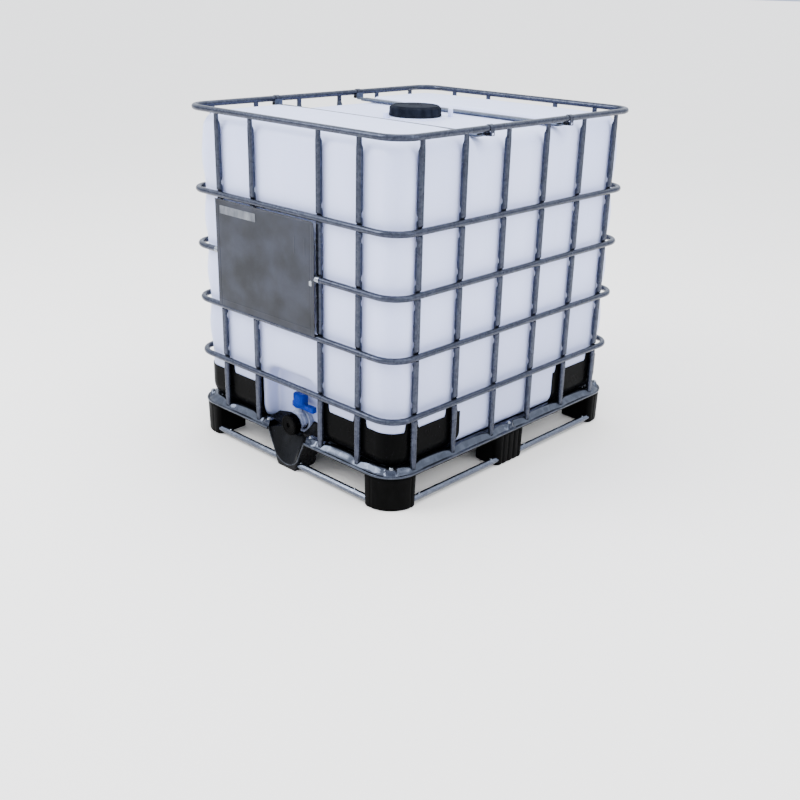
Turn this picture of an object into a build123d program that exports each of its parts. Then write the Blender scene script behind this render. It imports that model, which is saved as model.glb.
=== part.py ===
from build123d import *
import os
from math import cos, radians

# Intermediate bulk container, 1000 litre class: a blow-moulded bottle in a welded
# tube cage, standing on a sheet steel pan, a plastic pallet and a ring of skid tube.
# Millimetres, +Z up. Origin at the bottom centre. The outlet faces -Y, the short side;
# the long sides face +X and -X.

# ---- driving dimensions ----
WIDTH = 1000.0          # along X
LENGTH = 1200.0         # along Y
HEIGHT = 1160.0         # floor to the top of the crossbar clamps

# cage rails: closed rings of round tube
RAIL_D = 20.0
RAIL_WALL = 1.25
RAIL_INSET = 12.0       # tube centre line, in from the overall width and length
RAIL_CORNER_R = 76.0
STRAP_T = 2.0           # clamp strap over the top rail
CLAMP_HALF = 9.0        # half its length along the rail
CLAMP_DROP = 22.0       # its legs, down from the rail's centre line
CLAMP_BOLT_Z = -17.0
CLAMP_BOLT_R = 4.0
CLAMP_HEX_R = 5.5
CLAMP_LUG_T = 3.0
CLAMP_EYE_Y = 2.0
CLAMP_HEAD_T = 7.0
CLAMP_NUT_T = 5.0
RAIL_Z = {
    "rail_top": HEIGHT - STRAP_T - RAIL_D / 2,
    "rail_upper": 881.0,
    "rail_middle": 692.0,
    "rail_lower": 501.0,
    "rail_bottom": 305.0,
}

# cage uprights: oval tube, notched round the rails and pinched at the top
UPRIGHT_W = 22.0
UPRIGHT_T = 16.0
UPRIGHT_WALL = 1.25
UPRIGHT_BEHIND_RAIL = 8.0
UPRIGHT_END_X = (-330.0, -158.0, 158.0, 330.0)
UPRIGHT_SIDE_Y = (-484.0, -297.0, -99.0, 99.0, 297.0, 484.0)
PINCH_Z = 1108.0
PINCH_H = 20.0
PINCH_W = 15.0
PINCH_T = 8.0
PINCH_OFF = 2.0         # towards the middle, from flush with the rail side
TIP_DROP = 3.0          # upright's end, below the top rail's centre line
WELD_GAP = 0.02

# pan: pressed sheet with a turned-down rim and a raised bead that the uprights stand on
PAN_Z = 122.0           # top of the sheet, where the bottle stands
PAN_SHEET = 1.2
PAN_CORNER_R = 100.0
RIM_H = 6.0
BEAD_IN = (8.0, 42.0)   # bead's outer and inner edge, in from the rim
BEAD_H = 20.0
BEAD_FILLET = 4.0
SCREW_R = 3.0
SCREW_L = 29.0          # below the top of the bead
SCREW_HEAD_R = 6.5
SCREW_HEAD_H = 5.0
SCREW_EDGE = 22.0       # screw's distance in from the rim
SCREW_BESIDE_NOTCH = 13.0
SCREW_HOLE_FIT = 0.2
NOTCH_HALF = 95.0       # gap in the pan for the outlet trough
NOTCH_Y = -500.0

# pallet
DECK_INSET = 3.0
DECK_T = 9.0
FOOT_H = PAN_Z - PAN_SHEET - DECK_T
FOOT_WALL = 5.0
FOOT_LONG = 130.0       # a corner foot's length along X
FOOT_SHORT = 124.0      # a corner foot's length along Y
SIDE_FOOT_L = 144.0
SIDE_FOOT_W = 110.0
FOOT_CORNER_R = 20.0
OUTLET_FOOT_FRONT = -598.0
OUTLET_FOOT_BACK = -507.0
OUTLET_FOOT_FIT = 0.5   # between its sides and the gap in the pan
OUTLET_FACE = ((95.0, 122.0), (60.0, 52.0), (47.0, 28.0), (44.0, 0.0))  # half width, height
DISH_SIDE = ((-601.0, 32.0), (-560.0, 92.0), (-552.0, 123.0), (-601.0, 123.0))  # y, z
DISH_WALL = 5.0
SKID_D = 22.0
SKID_WALL = 1.5
SKID_INSET = 18.0
SKID_Z = 22.0
SKID_CORNER_R = 82.0

# bottle
BOTTLE_INSET = 32.0
BOTTLE_TOP = 1138.0     # of the humps in front of and behind the crossbars
BOTTLE_SADDLE = 1117.5  # of the lower middle, round the neck
SADDLE_HALF = 224.0
BOTTLE_WALL = 2.5
BOTTLE_CORNER_R = 68.0
BOTTLE_FOOT_R = 64.0
BOTTLE_SHOULDER_R = 54.0
SHELL_TOP = 1080.0      # where the drawn walls end and the top begins
RECESS_HALF = 138.0     # arched recess round the outlet
RECESS_TOP = 332.0
RECESS_DEPTH = 62.0
RECESS_ARCH_R = 70.0

# fill neck and screw lid
NECK_OUT_R = 77.0
NECK_WALL = 4.0
NECK_TOP = 1146.0
NECK_COLLAR_R = 98.0
NECK_COLLAR_TOP = 1122.0
LID_R = 90.0
LID_WALL = 4.0
LID_BOTTOM = 1124.0
LID_TOP = 1157.0
LID_CHAMFER = 5.0
LID_GRIP_COUNT = 36
LID_GRIP_R = 2.5
LID_GRIP_OFF = 0.8      # flute's centre, outside the rim
GASKET_INSET = 0.5      # gasket's edge, in from the face it seals
GASKET_LIP = 3.0        # its width inside the neck's wall

# crossbars over the bottle
BAR_Y = 200.0
BAR_W = 34.0
BAR_T = 11.0
BAR_WALL = 1.5
BAR_Z = 1124.5
BAR_END_X = 452.0
BAR_STRAP_TOP = -2.0    # the end strap's top, from the top rail's centre line
BAR_BEND = 4.0          # chamfer where the end strap turns up

# outlet valve, along -Y from the bottle's nozzle
VALVE_Z = 153.0
BORE_R = 25.0
NOZZLE_R = 29.0
NOZZLE_Y = -520.0       # the nozzle's face
GASKET_T = 2.0
BODY_R = 34.0
BODY_FRONT = -556.0
SPOUT_FRONT = -577.0    # the threaded spout's face
UNION_R = 42.0
UNION_L = 17.0
UNION_LIP = 6.0         # thickness of its inward lip behind the nozzle's flange
UNION_GROOVE_R = 4.0
UNION_GROOVE_OFF = 2.0  # groove's centre, outside the nut
UNION_GROOVES = 12
STEM_Y = -538.0
STEM_R = 6.0
STEM_FIT = 0.05
BONNET_R = 13.0
BONNET_TOP = 207.0
DISC_T = 5.0
DISC_GAP = 0.4
LEVER_Z = 208.0
LEVER_L = 84.0
LEVER_W = 22.0
LEVER_T = 20.0
HUB_R = 18.0
HUB_TOP = 262.0
HUB_CAP = 6.0           # lever's thickness over the stem's end
HUB_FILLET = 4.0
LEVER_TAIL = 6.0        # arm's end behind the hub
LEVER_END_R = 8.0
LEVER_SCREW_R = 5.0
LEVER_SCREW_H = 2.5
STEM_UP = 3.0           # stem's foot, above the flap's lower edge
CAP_R = 37.0
CAP_FRONT = -584.0
CAP_BACK = -558.0
CAP_WALL = 4.0
CAP_CHAMFER = 3.0
CAP_DIMPLE_R = 7.0
CAP_DIMPLE_T = 1.5
CAP_GROOVE_R = 1.6
CAP_GROOVE_OFF = 0.4    # groove's centre, outside the cap
CAP_GROOVES = 24
RUN_GAP = 0.3           # between curved faces on different bodies

# corner guards
GUARD_T = 3.0
GUARD_GAP = 0.3
GUARD_TOP = 248.0
GUARD_LUG_TOP = 286.0
GUARD_LUG_HALF = 27.0
GUARD_END_X = 142.0
GUARD_END_Y = 252.0
GUARD_FOOT_GAP = 2.0    # above the pan

# liner: sloping floor below the recess, round the outlet
LINER_SIDE = ((-552.0, 122.0), (-552.0, 130.0), (-508.0, 165.0), (-507.0, 165.0), (-507.0, 122.0))
LINER_CLEAR_R = 45.0    # round the union nut

# plate on the front of the cage
PLATE_X = (-333.0, 153.0)
PLATE_Z = (506.0, 869.0)
PLATE_T = 0.9
PLATE_HEM = 9.0
CLIP_L = 18.0
CLIP_T = 1.5

RAIL_R = RAIL_D / 2
BEAD_TOP = PAN_Z + BEAD_H
RAIL_HALF_X = WIDTH / 2 - RAIL_INSET
RAIL_HALF_Y = LENGTH / 2 - RAIL_INSET
UPRIGHT_HALF_X = RAIL_HALF_X - UPRIGHT_BEHIND_RAIL
UPRIGHT_HALF_Y = RAIL_HALF_Y - UPRIGHT_BEHIND_RAIL
BOTTLE_HALF_X = WIDTH / 2 - BOTTLE_INSET
BOTTLE_HALF_Y = LENGTH / 2 - BOTTLE_INSET
RECESS_FLOOR_Y = -BOTTLE_HALF_Y + RECESS_DEPTH

parts = {}


# ---- shared shapes ----
def block(x0, x1, y0, y1, z0, z1):
    """A box from its lowest and highest corner."""
    centre = Pos((x0 + x1) / 2, (y0 + y1) / 2, (z0 + z1) / 2)
    return centre * Box(x1 - x0, y1 - y0, z1 - z0)


def rod(axis, radius, start, length):
    """A round bar from start, along +X, +Y or +Z."""
    turn = {"x": (0, 90, 0), "y": (-90, 0, 0), "z": (0, 0, 0)}[axis]
    bar = Cylinder(radius, length, align=(Align.CENTER, Align.CENTER, Align.MIN))
    return Pos(*start) * Rot(*turn) * bar


def slab(inset, corner_r, z0, z1):
    """A rounded rectangle of the overall footprint, pulled in by inset, from z0 to z1."""
    face = RectangleRounded(WIDTH - 2 * inset, LENGTH - 2 * inset, corner_r - inset)
    return Pos(0, 0, z0) * extrude(face, z1 - z0)


def tube_ring(half_x, half_y, corner_r, z, outer_r, wall):
    """A closed ring of round tube with rounded corners."""
    path = (Pos(0, 0, z) * RectangleRounded(2 * half_x, 2 * half_y, corner_r)).face().outer_wire()
    start = Plane(origin=path @ 0, z_dir=path % 0)
    outer = sweep(start * Circle(outer_r), path)
    if wall is None:
        return outer
    return outer - sweep(start * Circle(outer_r - wall), path)


def four_ways(shape):
    """The shape and its mirror images in X and in Y."""
    pair = [shape, mirror(shape, Plane.YZ)]
    return pair + [mirror(s, Plane.XZ) for s in pair]


def group(shapes):
    """Separate solids kept together in one node."""
    return Compound(children=[s for shape in shapes for s in shape.solids()])


# ---- cage ----
def rail(name):
    return tube_ring(RAIL_HALF_X, RAIL_HALF_Y, RAIL_CORNER_R, RAIL_Z[name], RAIL_R, RAIL_WALL)


def upright_blank():
    """An upright on the -Y side: its centre plane is y = 0, and the rails lie at -Y of it."""
    oval = SlotOverall(UPRIGHT_W, UPRIGHT_T)
    bore = SlotOverall(UPRIGHT_W - 2 * UPRIGHT_WALL, UPRIGHT_T - 2 * UPRIGHT_WALL)
    tab = Pos(0, PINCH_OFF - (UPRIGHT_T - PINCH_T) / 2) * SlotOverall(PINCH_W, PINCH_T)
    shaft = Pos(0, 0, BEAD_TOP) * extrude(oval - bore, PINCH_Z - BEAD_TOP)
    tab_z = PINCH_Z + PINCH_H
    neck = loft([Pos(0, 0, PINCH_Z) * oval, Pos(0, 0, tab_z) * tab])
    tip = Pos(0, 0, tab_z) * extrude(tab, RAIL_Z["rail_top"] - TIP_DROP - tab_z)
    blank = shaft + neck + tip
    for z in RAIL_Z.values():
        start = (-UPRIGHT_W, -UPRIGHT_BEHIND_RAIL, z)
        blank -= rod("x", RAIL_R + WELD_GAP, start, 2 * UPRIGHT_W)
    return blank


def build_uprights():
    blank = upright_blank()
    for number, x in enumerate(UPRIGHT_END_X, 1):
        parts[f"upright_front_{number}"] = Pos(x, -UPRIGHT_HALF_Y, 0) * blank
        parts[f"upright_rear_{number}"] = Pos(x, UPRIGHT_HALF_Y, 0) * Rot(0, 0, 180) * blank
    for number, y in enumerate(UPRIGHT_SIDE_Y, 1):
        parts[f"upright_right_{number}"] = Pos(UPRIGHT_HALF_X, y, 0) * Rot(0, 0, 90) * blank
        parts[f"upright_left_{number}"] = Pos(-UPRIGHT_HALF_X, y, 0) * Rot(0, 0, -90) * blank


# ---- bottle ----
def bottle_form(grow):
    """The bottle's outside, grown or shrunk by an even distance."""
    half_x = BOTTLE_HALF_X + grow
    half_y = BOTTLE_HALF_Y + grow
    form = block(-half_x, half_x, -half_y, half_y, PAN_Z - grow, BOTTLE_TOP + grow)
    form = fillet(form.edges().filter_by(Axis.Z), BOTTLE_CORNER_R + grow)
    form = fillet(form.faces().sort_by(Axis.Z)[0].edges(), BOTTLE_FOOT_R + grow)
    return fillet(form.faces().sort_by(Axis.Z)[-1].edges(), BOTTLE_SHOULDER_R + grow)


def recess(grow):
    """The arched pocket round the outlet, grown by an even distance."""
    half = RECESS_HALF + grow
    top = RECESS_TOP + grow
    bottom = 0
    face = Pos(0, (top + bottom) / 2) * Rectangle(2 * half, top - bottom)
    face = fillet(face.vertices().sort_by(Axis.Y)[-2:], RECESS_ARCH_R + grow)
    return Plane.XZ.offset(LENGTH / 2) * extrude(face, -(RECESS_FLOOR_Y + grow + LENGTH / 2))


def saddle(grow):
    """The space over the lower middle of the bottle's top, where the crossbars and lid are."""
    half = SADDLE_HALF + grow
    return block(-WIDTH / 2, WIDTH / 2, -half, half, BOTTLE_SADDLE - grow, HEIGHT)


def bottle_shell():
    """The whole moulding: outside, neck and nozzle, less the hollow inside."""
    shell = bottle_form(0) - recess(0) - saddle(0)
    neck_foot = BOTTLE_SADDLE - BOTTLE_WALL
    shell += rod("z", NECK_COLLAR_R, (0, 0, neck_foot), NECK_COLLAR_TOP - neck_foot)
    shell += rod("z", NECK_OUT_R, (0, 0, neck_foot), NECK_TOP - neck_foot)
    shell += rod("y", NOZZLE_R, (0, NOZZLE_Y, VALVE_Z), RECESS_FLOOR_Y - NOZZLE_Y + 1)
    shell -= bottle_form(-BOTTLE_WALL) - recess(BOTTLE_WALL) - saddle(BOTTLE_WALL)
    shell -= rod("z", NECK_OUT_R - NECK_WALL, (0, 0, SHELL_TOP), NECK_TOP - SHELL_TOP)
    return shell - rod("y", BORE_R, (0, -BOTTLE_HALF_Y, VALVE_Z), RECESS_DEPTH + 2 * BOTTLE_WALL)


def build_bottle():
    """The moulding, drawn as pieces that meet face to face.

    Each piece is nearly convex, so the hulls round them leave the neck, the outlet
    and the recess open.
    """
    far = LENGTH
    top = HEIGHT
    arch_x = RECESS_HALF - RECESS_ARCH_R
    arch_z = RECESS_TOP - RECESS_ARCH_R
    port = NOZZLE_R + BOTTLE_WALL
    port_top = VALVE_Z + port
    front = RECESS_FLOOR_Y + 2 * BOTTLE_WALL
    side = BOTTLE_HALF_X - BOTTLE_CORNER_R
    rear = BOTTLE_HALF_Y - BOTTLE_CORNER_R
    collar = NECK_COLLAR_R + BOTTLE_WALL
    cells = [
        (-far, -RECESS_HALF, -far, front, 0, SHELL_TOP),
        (RECESS_HALF, far, -far, front, 0, SHELL_TOP),
        (-RECESS_HALF, -port, -far, front, 0, arch_z),
        (port, RECESS_HALF, -far, front, 0, arch_z),
        (-port, port, -far, front, port_top, arch_z),
        (-RECESS_HALF, -arch_x, -far, front, arch_z, RECESS_TOP),
        (-arch_x, arch_x, -far, front, arch_z, RECESS_TOP),
        (arch_x, RECESS_HALF, -far, front, arch_z, RECESS_TOP),
        (-RECESS_HALF, RECESS_HALF, -far, front, RECESS_TOP, SHELL_TOP),
        (-far, -side, front, far, 0, SHELL_TOP),
        (side, far, front, far, 0, SHELL_TOP),
        (-side, side, rear, far, 0, SHELL_TOP),
        (-side, side, front, rear, 0, SHELL_TOP),
        (-far, far, -far, -SADDLE_HALF, SHELL_TOP, top),
        (-far, far, SADDLE_HALF, far, SHELL_TOP, top),
        (-far, -collar, -SADDLE_HALF, SADDLE_HALF, SHELL_TOP, top),
        (collar, far, -SADDLE_HALF, SADDLE_HALF, SHELL_TOP, top),
        (-collar, collar, -SADDLE_HALF, -collar, SHELL_TOP, top),
        (-collar, collar, collar, SADDLE_HALF, SHELL_TOP, top),
    ]
    shell = bottle_shell()
    parts["bottle"] = group([shell & block(*cell) for cell in cells])
    nozzle = shell & block(-port, port, -far, front, 0, port_top)
    neck = shell & block(-collar, collar, -collar, collar, SHELL_TOP, top)
    parts["bottle_ports"] = group([neck, nozzle])


def lid():
    """Screw lid: a cup turned down over the neck, with grip flutes round its rim."""
    cup = rod("z", LID_R, (0, 0, LID_BOTTOM), LID_TOP - LID_BOTTOM)
    cup = chamfer(cup.faces().sort_by(Axis.Z)[-1].edges(), LID_CHAMFER)
    cup -= rod("z", NECK_OUT_R + RUN_GAP, (0, 0, LID_BOTTOM), LID_TOP - LID_BOTTOM - LID_WALL)
    groove = rod("z", LID_R - LID_WALL, (0, 0, LID_BOTTOM), LID_TOP - LID_BOTTOM - LID_WALL)
    groove -= rod("z", NECK_OUT_R + LID_WALL, (0, 0, LID_BOTTOM), LID_TOP - LID_BOTTOM)
    cup -= groove
    flute = rod("z", LID_GRIP_R, (0, 0, LID_BOTTOM), LID_TOP - LID_BOTTOM - LID_CHAMFER)
    for place in PolarLocations(LID_R + LID_GRIP_OFF, LID_GRIP_COUNT):
        cup -= place * flute
    return cup


def lid_gasket():
    top = LID_TOP - LID_WALL
    ring = rod("z", NECK_OUT_R - GASKET_INSET, (0, 0, NECK_TOP + RUN_GAP), top - NECK_TOP - RUN_GAP)
    return ring - rod("z", NECK_OUT_R - NECK_WALL - GASKET_LIP, (0, 0, NECK_TOP), LID_TOP - NECK_TOP)


# ---- crossbars ----
def clamp_centre(side_x, side_y):
    return Pos(side_x * RAIL_HALF_X, side_y * BAR_Y, RAIL_Z["rail_top"])


def crossbar(side_y):
    """Flattened tube with a flat strap at each end that rises to the top rail."""
    bar = Plane.YZ * SlotOverall(BAR_W, BAR_T)
    bore = Plane.YZ * SlotOverall(BAR_W - 2 * BAR_WALL, BAR_T - 2 * BAR_WALL)
    tube = extrude(bar, BAR_END_X, both=True) - extrude(bore, BAR_END_X, both=True)
    tube = Pos(0, side_y * BAR_Y, BAR_Z) * tube
    face = RAIL_HALF_X - RAIL_R - STRAP_T - WELD_GAP
    back = face - STRAP_T
    low = BAR_Z - STRAP_T / 2
    high = low + STRAP_T
    rise = RAIL_Z["rail_top"] + BAR_STRAP_TOP
    profile = Polyline(
        (BAR_END_X, low), (face - BAR_BEND, low), (face, low + BAR_BEND), (face, rise),
        (back, rise), (back, high + BAR_BEND), (back - BAR_BEND, high), (BAR_END_X, high),
        close=True,
    )
    strap = Plane.XZ * extrude(make_face(profile), BAR_W / 2, both=True)
    straps = Pos(0, side_y * BAR_Y, 0) * strap
    return tube + straps + mirror(straps, Plane.YZ)


def clamp():
    """Strap bent over the top rail, with an eye below it and a lug for its bolt."""
    outer = RAIL_R + STRAP_T
    inner = RAIL_R + WELD_GAP
    hoop = rod("y", outer, (0, -CLAMP_HALF, 0), 2 * CLAMP_HALF)
    hoop += block(-outer, outer, -CLAMP_HALF, CLAMP_HALF, -CLAMP_DROP, 0)
    hoop -= rod("y", inner, (0, -CLAMP_HALF, 0), 2 * CLAMP_HALF)
    hoop -= block(-inner, inner, -CLAMP_HALF, CLAMP_HALF, -CLAMP_DROP, 0)
    lug_back = CLAMP_LUG_T - CLAMP_HALF
    lug = block(-inner, inner, -CLAMP_HALF, lug_back, -CLAMP_DROP, -inner)
    eye = rod("x", CLAMP_BOLT_R, (-2 * RAIL_R, CLAMP_EYE_Y, CLAMP_BOLT_Z), 4 * RAIL_R)
    hole = rod("y", CLAMP_BOLT_R + WELD_GAP, (0, -RAIL_R, CLAMP_BOLT_Z), 2 * RAIL_R)
    return hoop + lug - eye - hole


def clamp_bolt():
    """Hexagon bolt through the lug, along the rail, and its nut."""
    hexagon = Rot(90, 0, 0) * RegularPolygon(CLAMP_HEX_R, 6)
    head = Pos(0, -CLAMP_HALF, CLAMP_BOLT_Z) * extrude(hexagon, CLAMP_HEAD_T)
    nut_back = CLAMP_LUG_T - CLAMP_HALF + CLAMP_NUT_T
    bolt = head + rod("y", CLAMP_BOLT_R, (0, -CLAMP_HALF, CLAMP_BOLT_Z), nut_back + CLAMP_HALF)
    nut = Pos(0, nut_back, CLAMP_BOLT_Z) * extrude(hexagon, CLAMP_NUT_T)
    nut -= rod("y", CLAMP_BOLT_R + WELD_GAP, (0, -RAIL_R, CLAMP_BOLT_Z), 2 * RAIL_R)
    return group([bolt, nut])


def at_clamps(shape):
    """The shape at the four crossbar ends, facing outwards."""
    ends = []
    for side_y in (-1, 1):
        for side_x in (-1, 1):
            ends.append(clamp_centre(side_x, side_y) * shape)
    return group(ends)


# ---- pan and pallet ----
def screw_places():
    """Screws through the pan: beside the notch, at the corners and at mid side."""
    diagonal = (PAN_CORNER_R - SCREW_EDGE) * cos(radians(45))
    corner_x = WIDTH / 2 - PAN_CORNER_R + diagonal
    corner_y = LENGTH / 2 - PAN_CORNER_R + diagonal
    places = [(sx * corner_x, sy * corner_y) for sx in (-1, 1) for sy in (-1, 1)]
    beside_notch = NOTCH_HALF + SCREW_BESIDE_NOTCH
    end_y = LENGTH / 2 - SCREW_EDGE
    places += [(sx * beside_notch, sy * end_y) for sx in (-1, 1) for sy in (-1, 1)]
    places += [(sx * (WIDTH / 2 - SCREW_EDGE), 0) for sx in (-1, 1)]
    return places


def drill(shape, radius):
    for x, y in screw_places():
        shape -= rod("z", radius, (x, y, 0), 2 * PAN_Z)
    return shape


def pan():
    sheet = slab(0, PAN_CORNER_R, PAN_Z - PAN_SHEET, PAN_Z)
    rim = slab(0, PAN_CORNER_R, PAN_Z - RIM_H, PAN_Z)
    rim -= slab(PAN_SHEET, PAN_CORNER_R, PAN_Z - RIM_H, PAN_Z)
    outer, inner = BEAD_IN
    bead = slab(outer, PAN_CORNER_R, PAN_Z - PAN_SHEET, BEAD_TOP)
    bead -= slab(inner, PAN_CORNER_R, 0, BEAD_TOP)
    bead = fillet(bead.faces().sort_by(Axis.Z)[-1].edges(), BEAD_FILLET)
    hollow = slab(outer + PAN_SHEET, PAN_CORNER_R, 0, BEAD_TOP - PAN_SHEET)
    hollow -= slab(inner - PAN_SHEET, PAN_CORNER_R, 0, BEAD_TOP - PAN_SHEET)
    hollow = fillet(hollow.faces().sort_by(Axis.Z)[-1].edges(), BEAD_FILLET - PAN_SHEET)
    tray = sheet + rim + bead - hollow
    tray -= block(-NOTCH_HALF, NOTCH_HALF, -LENGTH, NOTCH_Y, 0, HEIGHT)
    return drill(tray, SCREW_R + SCREW_HOLE_FIT)


def pan_screws():
    head = Pos(0, 0, BEAD_TOP) * extrude(RegularPolygon(SCREW_HEAD_R, 6), SCREW_HEAD_H)
    screw = head + rod("z", SCREW_R, (0, 0, BEAD_TOP - SCREW_L), SCREW_L + SCREW_HEAD_H / 2)
    return group([Pos(x, y, 0) * screw for x, y in screw_places()])


def deck():
    """Board between the pan and the feet."""
    top = PAN_Z - PAN_SHEET
    board = slab(DECK_INSET, PAN_CORNER_R, top - DECK_T, top)
    board -= block(-NOTCH_HALF, NOTCH_HALF, -LENGTH, NOTCH_Y, 0, HEIGHT)
    return drill(board, SCREW_R + WELD_GAP)


def hollow_foot(x0, x1, y0, y1):
    """A foot with a closed sole, open into the pallet above it."""
    centre = Pos((x0 + x1) / 2, (y0 + y1) / 2, 0)
    width = x1 - x0
    length = y1 - y0
    outer = centre * extrude(RectangleRounded(width, length, FOOT_CORNER_R), FOOT_H)
    inside = RectangleRounded(width - 2 * FOOT_WALL, length - 2 * FOOT_WALL, FOOT_CORNER_R - FOOT_WALL)
    return outer, centre * Pos(0, 0, FOOT_WALL) * extrude(inside, FOOT_H)


def corner_foot():
    """The +X +Y corner foot: it follows the pallet's rounded corner."""
    x1 = WIDTH / 2
    y1 = LENGTH / 2
    outer, core = hollow_foot(x1 - FOOT_LONG, WIDTH, y1 - FOOT_SHORT, LENGTH)
    outer &= slab(DECK_INSET, PAN_CORNER_R, 0, FOOT_H)
    core &= slab(DECK_INSET + FOOT_WALL, PAN_CORNER_R, 0, FOOT_H)
    return outer - core


def side_foot():
    x1 = WIDTH / 2 - DECK_INSET
    outer, core = hollow_foot(x1 - SIDE_FOOT_W, x1, -SIDE_FOOT_L / 2, SIDE_FOOT_L / 2)
    return outer - core


def end_foot():
    y1 = LENGTH / 2 - DECK_INSET
    outer, core = hollow_foot(-SIDE_FOOT_L / 2, SIDE_FOOT_L / 2, y1 - SIDE_FOOT_W, y1)
    return outer - core


def centre_foot():
    half = SIDE_FOOT_L / 2
    outer, core = hollow_foot(-half, half, -half, half)
    return outer - core


def outlet_face(inset):
    """The outlet foot's front outline, less an even inset at its sides."""
    right = [(half - inset, z) for half, z in OUTLET_FACE]
    left = [(-half, z) for half, z in reversed(right)]
    return make_face(Polyline(*right, *left, close=True))


def outlet_foot():
    """The front middle foot: it narrows downwards, and a dish in it holds the outlet cap."""
    front = OUTLET_FOOT_FRONT
    foot = Plane.XZ.offset(-front) * extrude(outlet_face(OUTLET_FOOT_FIT), front - OUTLET_FOOT_BACK)
    dish = Plane.XZ.offset(LENGTH / 2) * extrude(outlet_face(DISH_WALL), -LENGTH)
    dish_side = extrude(Plane.YZ * make_face(Polyline(*DISH_SIDE, close=True)), WIDTH, both=True)
    foot -= dish & dish_side
    return foot + liner() - rod("y", LINER_CLEAR_R, (0, -LENGTH, VALVE_Z), LENGTH)


def liner():
    side = make_face(Polyline(*LINER_SIDE, close=True))
    return extrude(Plane.YZ * side, RECESS_HALF - 1, both=True)


def build_feet():
    skid_space = skid_tube(SKID_D / 2 + WELD_GAP, None)
    names = ("rear_right", "rear_left", "front_right", "front_left")
    for name, foot in zip(names, four_ways(corner_foot())):
        parts[f"corner_foot_{name}"] = foot - skid_space
    right = side_foot() - skid_space
    parts["side_foot_right"] = right
    parts["side_foot_left"] = mirror(right, Plane.YZ)
    parts["end_foot_rear"] = end_foot() - skid_space
    parts["centre_foot"] = centre_foot()
    parts["outlet_foot"] = outlet_foot() - skid_space


def skid_tube(outer_r, wall):
    half_x = WIDTH / 2 - SKID_INSET
    half_y = LENGTH / 2 - SKID_INSET
    return tube_ring(half_x, half_y, SKID_CORNER_R, SKID_Z, outer_r, wall)


# ---- corner guards ----
def build_guards():
    skin = bottle_form(GUARD_GAP + GUARD_T) - bottle_form(GUARD_GAP)
    window = block(GUARD_END_X, WIDTH, GUARD_END_Y, LENGTH,
                   PAN_Z + GUARD_FOOT_GAP, GUARD_TOP)
    lugs = [(x, UPRIGHT_HALF_Y) for x in UPRIGHT_END_X if x > 0]
    lugs += [(UPRIGHT_HALF_X, y) for y in UPRIGHT_SIDE_Y if y > GUARD_END_Y]
    for x, y in lugs:
        lug = block(x - GUARD_LUG_HALF, x + GUARD_LUG_HALF, y - GUARD_LUG_HALF,
                    y + GUARD_LUG_HALF, PAN_Z, GUARD_LUG_TOP)
        window += lug & block(GUARD_END_X, WIDTH, GUARD_END_Y, LENGTH, GUARD_TOP, HEIGHT)
    guard = skin & window
    names = ("rear_right", "rear_left", "front_right", "front_left")
    for name, piece in zip(names, four_ways(guard)):
        parts[f"corner_guard_{name}"] = piece


# ---- plate on the cage ----
def plate():
    """Sheet with a narrow hem turned back along its top edge."""
    back = -RAIL_HALF_Y - RAIL_R - WELD_GAP
    front = back - PLATE_T
    sheet = block(*PLATE_X, front, back, *PLATE_Z)
    return sheet + block(*PLATE_X, front, front + PLATE_HEM, PLATE_Z[1] - PLATE_T, PLATE_Z[1])


def plate_clips():
    """Half-round spring clips beside the plate, on the middle rail."""
    ring = rod("x", RAIL_R + CLIP_T, (0, 0, 0), CLIP_L)
    ring -= rod("x", RAIL_R + WELD_GAP, (0, 0, 0), CLIP_L)
    ring -= block(-CLIP_L, 2 * CLIP_L, -WELD_GAP, RAIL_D, -RAIL_D, RAIL_D)
    z = RAIL_Z["rail_middle"]
    left = Pos(PLATE_X[0] - WELD_GAP - CLIP_L, -RAIL_HALF_Y, z) * ring
    right = Pos(PLATE_X[1] + WELD_GAP, -RAIL_HALF_Y, z) * ring
    return group([left, right])


# ---- outlet valve ----
def round_valve(shape, count):
    """Even copies of the shape round the valve's axis."""
    to_axis = Pos(0, 0, VALVE_Z)
    turns = [Rot(0, 360 * turn / count, 0) for turn in range(count)]
    return [to_axis * turn * to_axis.inverse() * shape for turn in turns]


def valve_body():
    """Short pipe with a threaded spout in front and a bonnet for the stem on top."""
    back = NOZZLE_Y - GASKET_T
    body = rod("y", BODY_R, (0, BODY_FRONT, VALVE_Z), back - BODY_FRONT)
    body += rod("y", NOZZLE_R, (0, SPOUT_FRONT, VALVE_Z), BODY_FRONT - SPOUT_FRONT + 1)
    body += rod("z", BONNET_R, (0, STEM_Y, VALVE_Z + BORE_R), BONNET_TOP - VALVE_Z - BORE_R)
    body -= rod("y", BORE_R, (0, -LENGTH / 2, VALVE_Z), LENGTH / 2)
    return body - rod("z", STEM_R + STEM_FIT, (0, STEM_Y, VALVE_Z), LEVER_Z - VALVE_Z)


def union_nut():
    """Grooved ring nut that pulls the valve body on to the nozzle."""
    back = RECESS_FLOOR_Y - RUN_GAP
    front = back - UNION_L
    nut = rod("y", UNION_R, (0, front, VALVE_Z), UNION_L)
    nut -= rod("y", BODY_R + WELD_GAP, (0, front, VALVE_Z), UNION_L - UNION_LIP)
    nut -= rod("y", NOZZLE_R + WELD_GAP, (0, front, VALVE_Z), UNION_L)
    groove = rod("y", UNION_GROOVE_R, (0, front, VALVE_Z + UNION_R + UNION_GROOVE_OFF), UNION_L)
    return nut - round_valve(groove, UNION_GROOVES)


def outlet_gasket():
    start = (0, NOZZLE_Y - GASKET_T, VALVE_Z)
    return rod("y", NOZZLE_R, start, GASKET_T) - rod("y", BORE_R, start, GASKET_T)


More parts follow.
